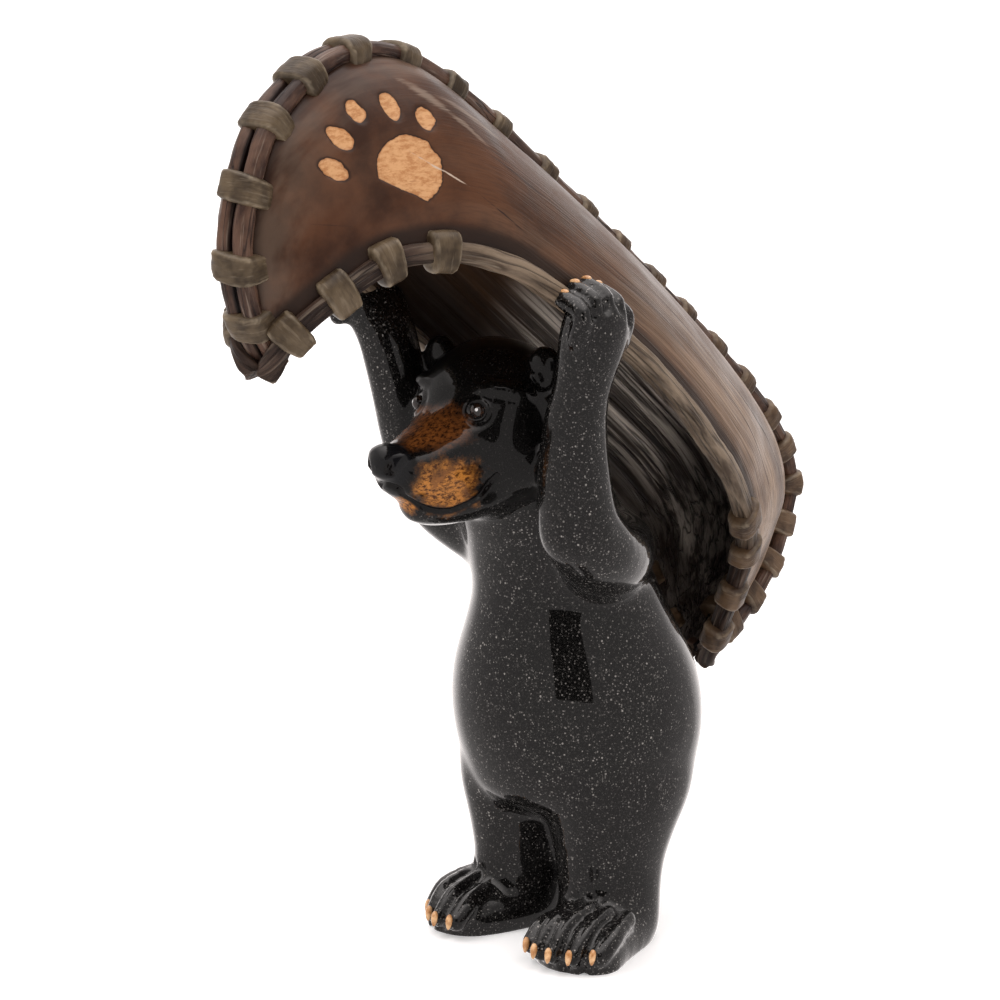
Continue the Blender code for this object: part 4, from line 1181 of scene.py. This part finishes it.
def addClaw(bm, base, way, length, radius):
    made = bmesh.ops.create_uvsphere(bm, u_segments=16, v_segments=14, radius=1.0)
    turn = Vector(way).normalized().to_track_quat("Z", "Y").to_matrix()
    for vert in made["verts"]:
        taper = 1 - 0.35 * (vert.co.z + 1) / 2
        x, y, z = vert.co
        vert.co = base + turn @ Vector((x * radius * taper, y * radius * taper, (z + 1) * length / 2))


def buildClaws():
    finish, tree, shader = newFinish("clawPaint", {"Roughness": 0.22, "Coat Weight": 0.8,
                                                   "Coat Roughness": 0.06})
    here = ownPlace(tree)
    tone = noiseValue(tree, here, 500.0)
    colour = blendColour(tree, ramp(tree, tone, 0.35, 0.7), (0.44, 0.19, 0.06), (0.80, 0.50, 0.26))
    tree.links.new(colour, shader.inputs["Base Color"])
    bm = bmesh.new()
    for x, y, knuckle in bear["leftToes"] + bear["rightToes"]:
        base = toRow((x, y - 0.85 * bear["toeRadius"], bear["toeFrontHeight"] + 0.010))
        addClaw(bm, base, claws["toeWay"], claws["toeLength"], claws["toeRadius"])
    for side in (1, -1):
        hold = holdPlace(side)
        wayX, wayY, wayZ = claws["fingerWay"]
        for back, above in bear["fingers"]:
            base = toRow((hold.x + side * 0.012, hold.y + back, hold.z + above + 0.012))
            addClaw(bm, base, (side * wayX, wayY, wayZ), claws["fingerLength"], claws["fingerRadius"])
    return makePiece("claws", bm, [finish])


buildBear()
buildEyes()
buildClaws()
print("bear built")


# Floor, light and camera

studio = {
    "floorSize": 400.0, "floorGlow": 0.28,
    "cameraTurn": math.radians(41.91), "cameraPitch": math.radians(-10.13), "lens": 102.85, "sensor": 36.0,
    "cameraDistance": 2.996, "cameraHeight": 1.034,   # shares of the figure's height
    "skyLow": 0.50, "skyHigh": 2.2, "skySeen": 1.0,   # brightness around, overhead, and as the camera sees it
    "skyBehind": 1.5,           # brightness behind the figure, which grazing surfaces reflect
    "skyColour": (1.0, 0.94, 0.92),
    "cardSize": 0.50,           # the dark card around the camera, that the gloss shows as a dark window
}


def flatSheet(name, size, finish):
    bm = bmesh.new()
    bmesh.ops.create_grid(bm, x_segments=1, y_segments=1, size=size / 2)
    mesh = bpy.data.meshes.new(name)
    bm.to_mesh(mesh)
    bm.free()
    mesh.materials.append(finish)
    sheet = bpy.data.objects.new(name, mesh)
    bpy.context.scene.collection.objects.link(sheet)
    return sheet


def buildStudio():
    scene = bpy.context.scene
    finish, tree, shader = newFinish("palePaper", {"Roughness": 0.6, "Emission Color": (1.0, 1.0, 1.0, 1.0),
                                                   "Emission Strength": studio["floorGlow"]})
    tone = noiseValue(tree, ownPlace(tree), 2.0)
    colour = blendColour(tree, tone, (0.90, 0.90, 0.90), (0.93, 0.93, 0.93))
    tree.links.new(colour, shader.inputs["Base Color"])
    floor = flatSheet("floor", studio["floorSize"], finish)
    floor.visible_glossy = False

    world = bpy.data.worlds.new("lightTent")
    scene.world = world
    world.use_nodes = True
    tree = world.node_tree
    background = tree.nodes["Background"]
    seen = tree.nodes.new("ShaderNodeLightPath").outputs["Is Camera Ray"]
    tree.links.new(blendColour(tree, seen, studio["skyColour"], (1.0, 1.0, 1.0)), background.inputs["Color"])
    way = tree.nodes.new("ShaderNodeTexCoord").outputs["Generated"]
    upwards = axesOf(tree, way)[2]
    onwards = (-math.sin(studio["cameraTurn"]), math.cos(studio["cameraTurn"]), 0.0)
    behind = vectors(tree, "DOT_PRODUCT", {0: way, 1: onwards}, "Value")
    sky = calc(tree, "MAXIMUM", ramp(tree, upwards, 0.50, 0.92, studio["skyLow"], studio["skyHigh"]),
               ramp(tree, behind, 0.60, 0.95, studio["skyLow"], studio["skyBehind"]))
    strength = addNode(tree, "ShaderNodeMapRange", {0: seen, 3: sky, 4: studio["skySeen"]})
    tree.links.new(strength.outputs[0], background.inputs["Strength"])

    turn = studio["cameraTurn"]
    pitch = studio["cameraPitch"]
    spot = toRow((studio["cameraDistance"] * math.sin(turn), -studio["cameraDistance"] * math.cos(turn),
                  studio["cameraHeight"]))
    ahead = Vector((-math.sin(turn) * math.cos(pitch), math.cos(turn) * math.cos(pitch), math.sin(pitch)))
    data = bpy.data.cameras.new("photoView")
    data.lens = studio["lens"]
    data.sensor_width = studio["sensor"]
    data.clip_start = 0.01
    data.clip_end = 1000.0
    camera = bpy.data.objects.new("photoView", data)
    camera.location = spot
    camera.rotation_euler = ahead.to_track_quat("-Z", "Y").to_euler()
    scene.collection.objects.link(camera)
    scene.camera = camera

    finish = newFinish("darkCard", {"Base Color": (0.004, 0.004, 0.004, 1.0), "Roughness": 1.0,
                                    "Specular IOR Level": 0.0})[0]
    card = flatSheet("dark_card", studio["cardSize"], finish)
    card.location = spot - ahead * 0.05
    card.rotation_euler = camera.rotation_euler
    card.visible_camera = card.visible_diffuse = card.visible_shadow = False

    lamps = (("key", (-0.5, -0.9, 1.5), 0.9, 9.0), ("side", (1.4, 0.2, 0.9), 0.8, 4.0))
    for name, place, size, power in lamps:
        light = bpy.data.lights.new(name, "AREA")
        light.shape = "SQUARE"
        light.size = size
        light.energy = power
        lamp = bpy.data.objects.new(name, light)
        lamp.location = place
        lamp.rotation_euler = (Vector((0, 0, 0.12)) - Vector(place)).to_track_quat("-Z", "Y").to_euler()
        lamp.visible_glossy = False
        scene.collection.objects.link(lamp)
    scene.view_settings.view_transform = "Standard"


buildStudio()
print("studio built")
